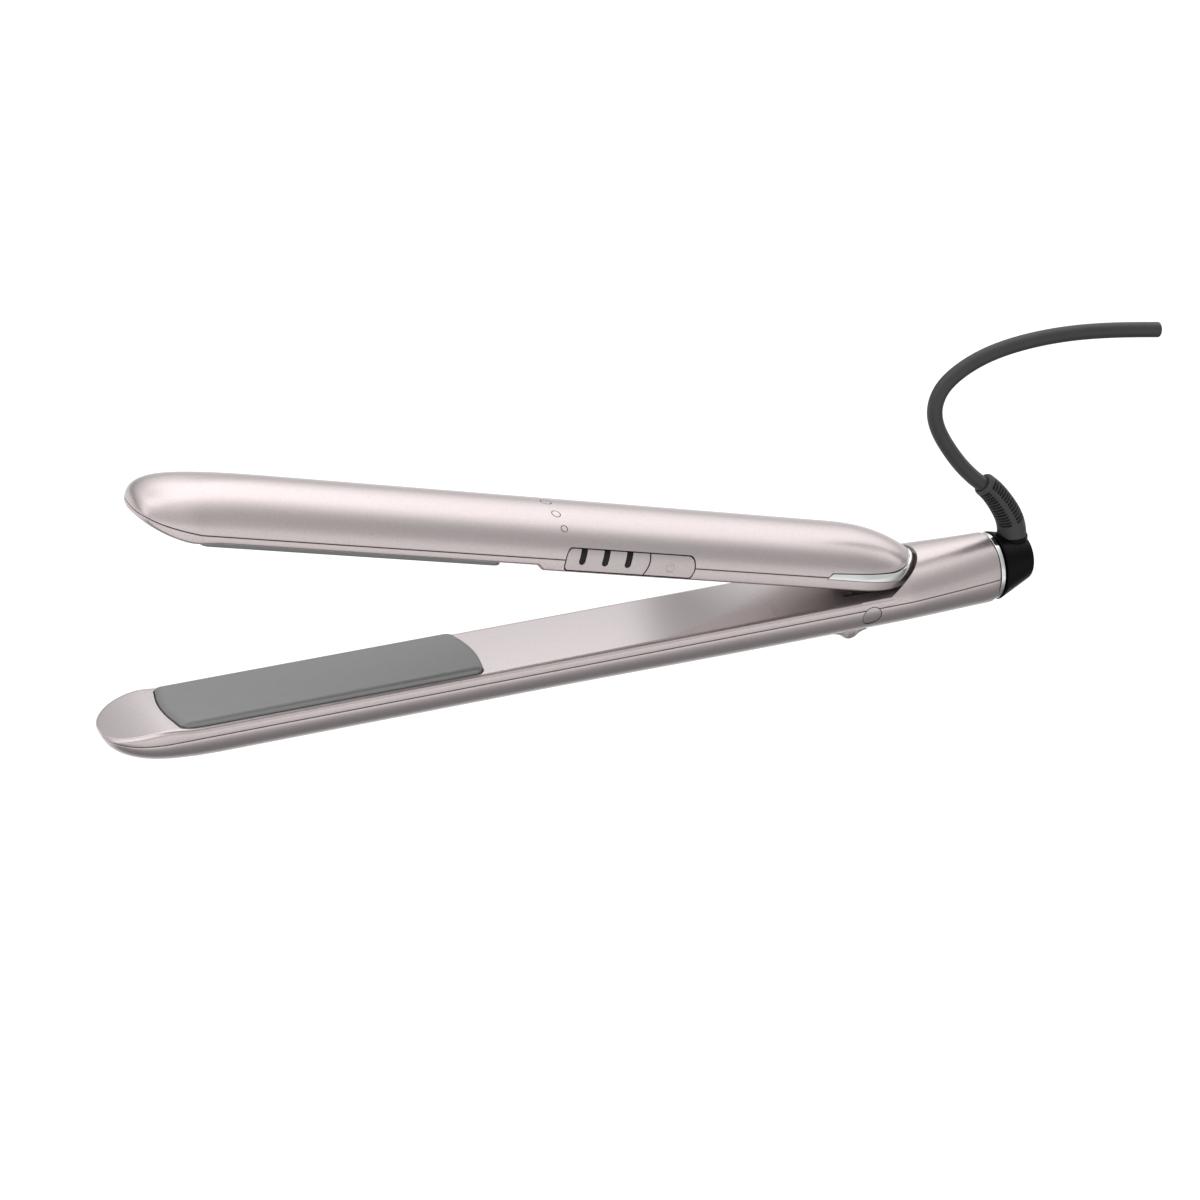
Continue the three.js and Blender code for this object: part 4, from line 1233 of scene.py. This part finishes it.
def between(tree, socket, start, end):
    """A soft step from 0 at the start to 1 at the end."""
    node = tree.nodes.new("ShaderNodeMapRange")
    node.interpolation_type = "SMOOTHSTEP"
    node.inputs["From Min"].default_value = start
    node.inputs["From Max"].default_value = end
    tree.links.new(socket, node.inputs["Value"])
    return node.outputs["Result"]


def dimmed(tree, colour, level, *masks):
    """The colour brought down to the level where all the masks are 1."""
    inside = masks[0]
    for mask in masks[1:]:
        inside = math_node(tree, "MULTIPLY", inside, mask)
    dim = tree.nodes.new("ShaderNodeMix")
    dim.data_type = "RGBA"
    dim.blend_type = "MULTIPLY"
    dim.inputs["B"].default_value = (level, level, level, 1)
    tree.links.new(inside, dim.inputs["Factor"])
    tree.links.new(colour, dim.inputs["A"])
    return dim.outputs["Result"]


def show_plain_backdrop(tree, studio):
    """Shows the camera plain white where nothing stands, while the pieces still reflect the studio."""
    plain = tree.nodes.new("ShaderNodeBackground")
    plain.inputs["Color"].default_value = (1, 1, 1, 1)
    ray = tree.nodes.new("ShaderNodeLightPath")
    choice = tree.nodes.new("ShaderNodeMixShader")
    tree.links.new(ray.outputs["Is Camera Ray"], choice.inputs["Fac"])
    tree.links.new(studio.outputs["Background"], choice.inputs[1])
    tree.links.new(plain.outputs["Background"], choice.inputs[2])
    tree.links.new(choice.outputs["Shader"], tree.nodes["World Output"].inputs["Surface"])


def brightness_by_angle(tree, y, z):
    """The studio's brightness for each direction, as a share of the brightest."""
    angle = math_node(tree, "ARCTAN2", z, math_node(tree, "MULTIPLY", y, -1))
    share = tree.nodes.new("ShaderNodeMapRange")
    share.inputs["From Min"].default_value = -math.pi
    share.inputs["From Max"].default_value = math.pi
    tree.links.new(angle, share.inputs["Value"])
    curve = tree.nodes.new("ShaderNodeValToRGB")
    stops = curve.color_ramp.elements
    while len(stops) > 1:
        stops.remove(stops[0])
    stops[0].position = 0
    for i, (degrees, value) in enumerate(STUDIO):
        stop = stops[0] if i == 0 else stops.new((degrees + 180) / 360)
        stop.color = [value / BRIGHTEST] * 3 + [1]
    tree.links.new(share.outputs["Result"], curve.inputs["Fac"])
    return curve.outputs["Color"]


def studio_world():
    world = bpy.data.worlds.new("studio")
    bpy.context.scene.world = world
    world.use_nodes = True
    tree = world.node_tree
    place = tree.nodes.new("ShaderNodeTexCoord")
    split = tree.nodes.new("ShaderNodeSeparateXYZ")
    tree.links.new(place.outputs["Generated"], split.inputs["Vector"])
    x, y, z = split.outputs["X"], split.outputs["Y"], split.outputs["Z"]
    colour = brightness_by_angle(tree, y, z)
    soft = 0.006
    colour = dimmed(
        tree, colour, PANEL_LEVEL, between(tree, y, 0.5, 0.6),
        between(tree, x, PANEL_X[0] - soft, PANEL_X[0] + soft),
        between(tree, x, PANEL_X[1] + soft, PANEL_X[1] - soft),
        between(tree, z, PANEL_Z[0] - soft, PANEL_Z[0] + soft),
        between(tree, z, PANEL_Z[1] + soft, PANEL_Z[1] - soft),
    )
    (start, end), level = BACK_FALLOFF
    colour = dimmed(
        tree, colour, level, between(tree, x, start, end),
        between(tree, y, 0.1, 0.5), between(tree, z, -0.1, 0.1))
    (start, end), level = FRONT_FALLOFF
    colour = dimmed(
        tree, colour, level, between(tree, x, start, end),
        between(tree, y, 0, -0.3), between(tree, z, -0.38, -0.22))
    background = tree.nodes["Background"]
    background.inputs["Strength"].default_value = BRIGHTEST
    tree.links.new(colour, background.inputs["Color"])
    show_plain_backdrop(tree, background)


def floor():
    """A wide floor under the arms, plain white from above and clear from below."""
    low = min(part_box(node)[0].z for node in frame["nodes"]) - FLOOR_DROP
    far = FLOOR_HALF
    corners = [(-far, -far, low), (far, -far, low), (far, far, low), (-far, far, low)]
    mesh = bpy.data.meshes.new("floor")
    mesh.from_pydata(corners, [], [(0, 1, 2, 3)])
    sheet = bpy.data.objects.new("floor", mesh)
    bpy.context.scene.collection.objects.link(sheet)
    material = bpy.data.materials.new("floor_paper")
    material.use_nodes = True
    tree = material.node_tree
    shader = tree.nodes["Principled BSDF"]
    shader.inputs["Base Color"].default_value = (0.12, 0.12, 0.12, 1)
    shader.inputs["Roughness"].default_value = 0.9
    shader.inputs["Emission Color"].default_value = (1, 1, 1, 1)
    shader.inputs["Emission Strength"].default_value = 1.0
    side = tree.nodes.new("ShaderNodeNewGeometry")
    seen_from_above = math_node(tree, "SUBTRACT", 1.0, side.outputs["Backfacing"])
    tree.links.new(seen_from_above, shader.inputs["Alpha"])
    mesh.materials.append(material)
    sheet.visible_glossy = False
    sheet.visible_diffuse = False


def stand(thing, place, direction):
    """Puts a lamp or the camera in its place and turns it to a direction."""
    thing.location = place
    thing.rotation_mode = "QUATERNION"
    thing.rotation_quaternion = direction.to_track_quat("-Z", "Y")
    bpy.context.scene.collection.objects.link(thing)


def softbox(name, place, target, width, depth, power):
    data = bpy.data.lights.new(name, "AREA")
    data.shape = "RECTANGLE"
    data.size = width
    data.size_y = depth
    data.energy = power
    lamp = bpy.data.objects.new(name, data)
    stand(lamp, Vector(place), Vector(target) - Vector(place))


def camera():
    data = bpy.data.cameras.new("camera")
    data.lens = CAMERA_LENS
    data.sensor_width = 36
    view = bpy.data.objects.new("camera", data)
    stand(view, HINGE + Vector(CAMERA_FROM_HINGE), Vector(CAMERA_TOWARD))
    bpy.context.scene.camera = view


dress_frame()
add_lower_arm()
add_upper_arm()
add_cord()
studio_world()
floor()
softbox("overhead_softbox", (-0.1, 0.35, 0.9), (0, 0, 0), width=1.6, depth=0.9, power=1.5)
camera()
bpy.context.scene.view_settings.view_transform = "Standard"
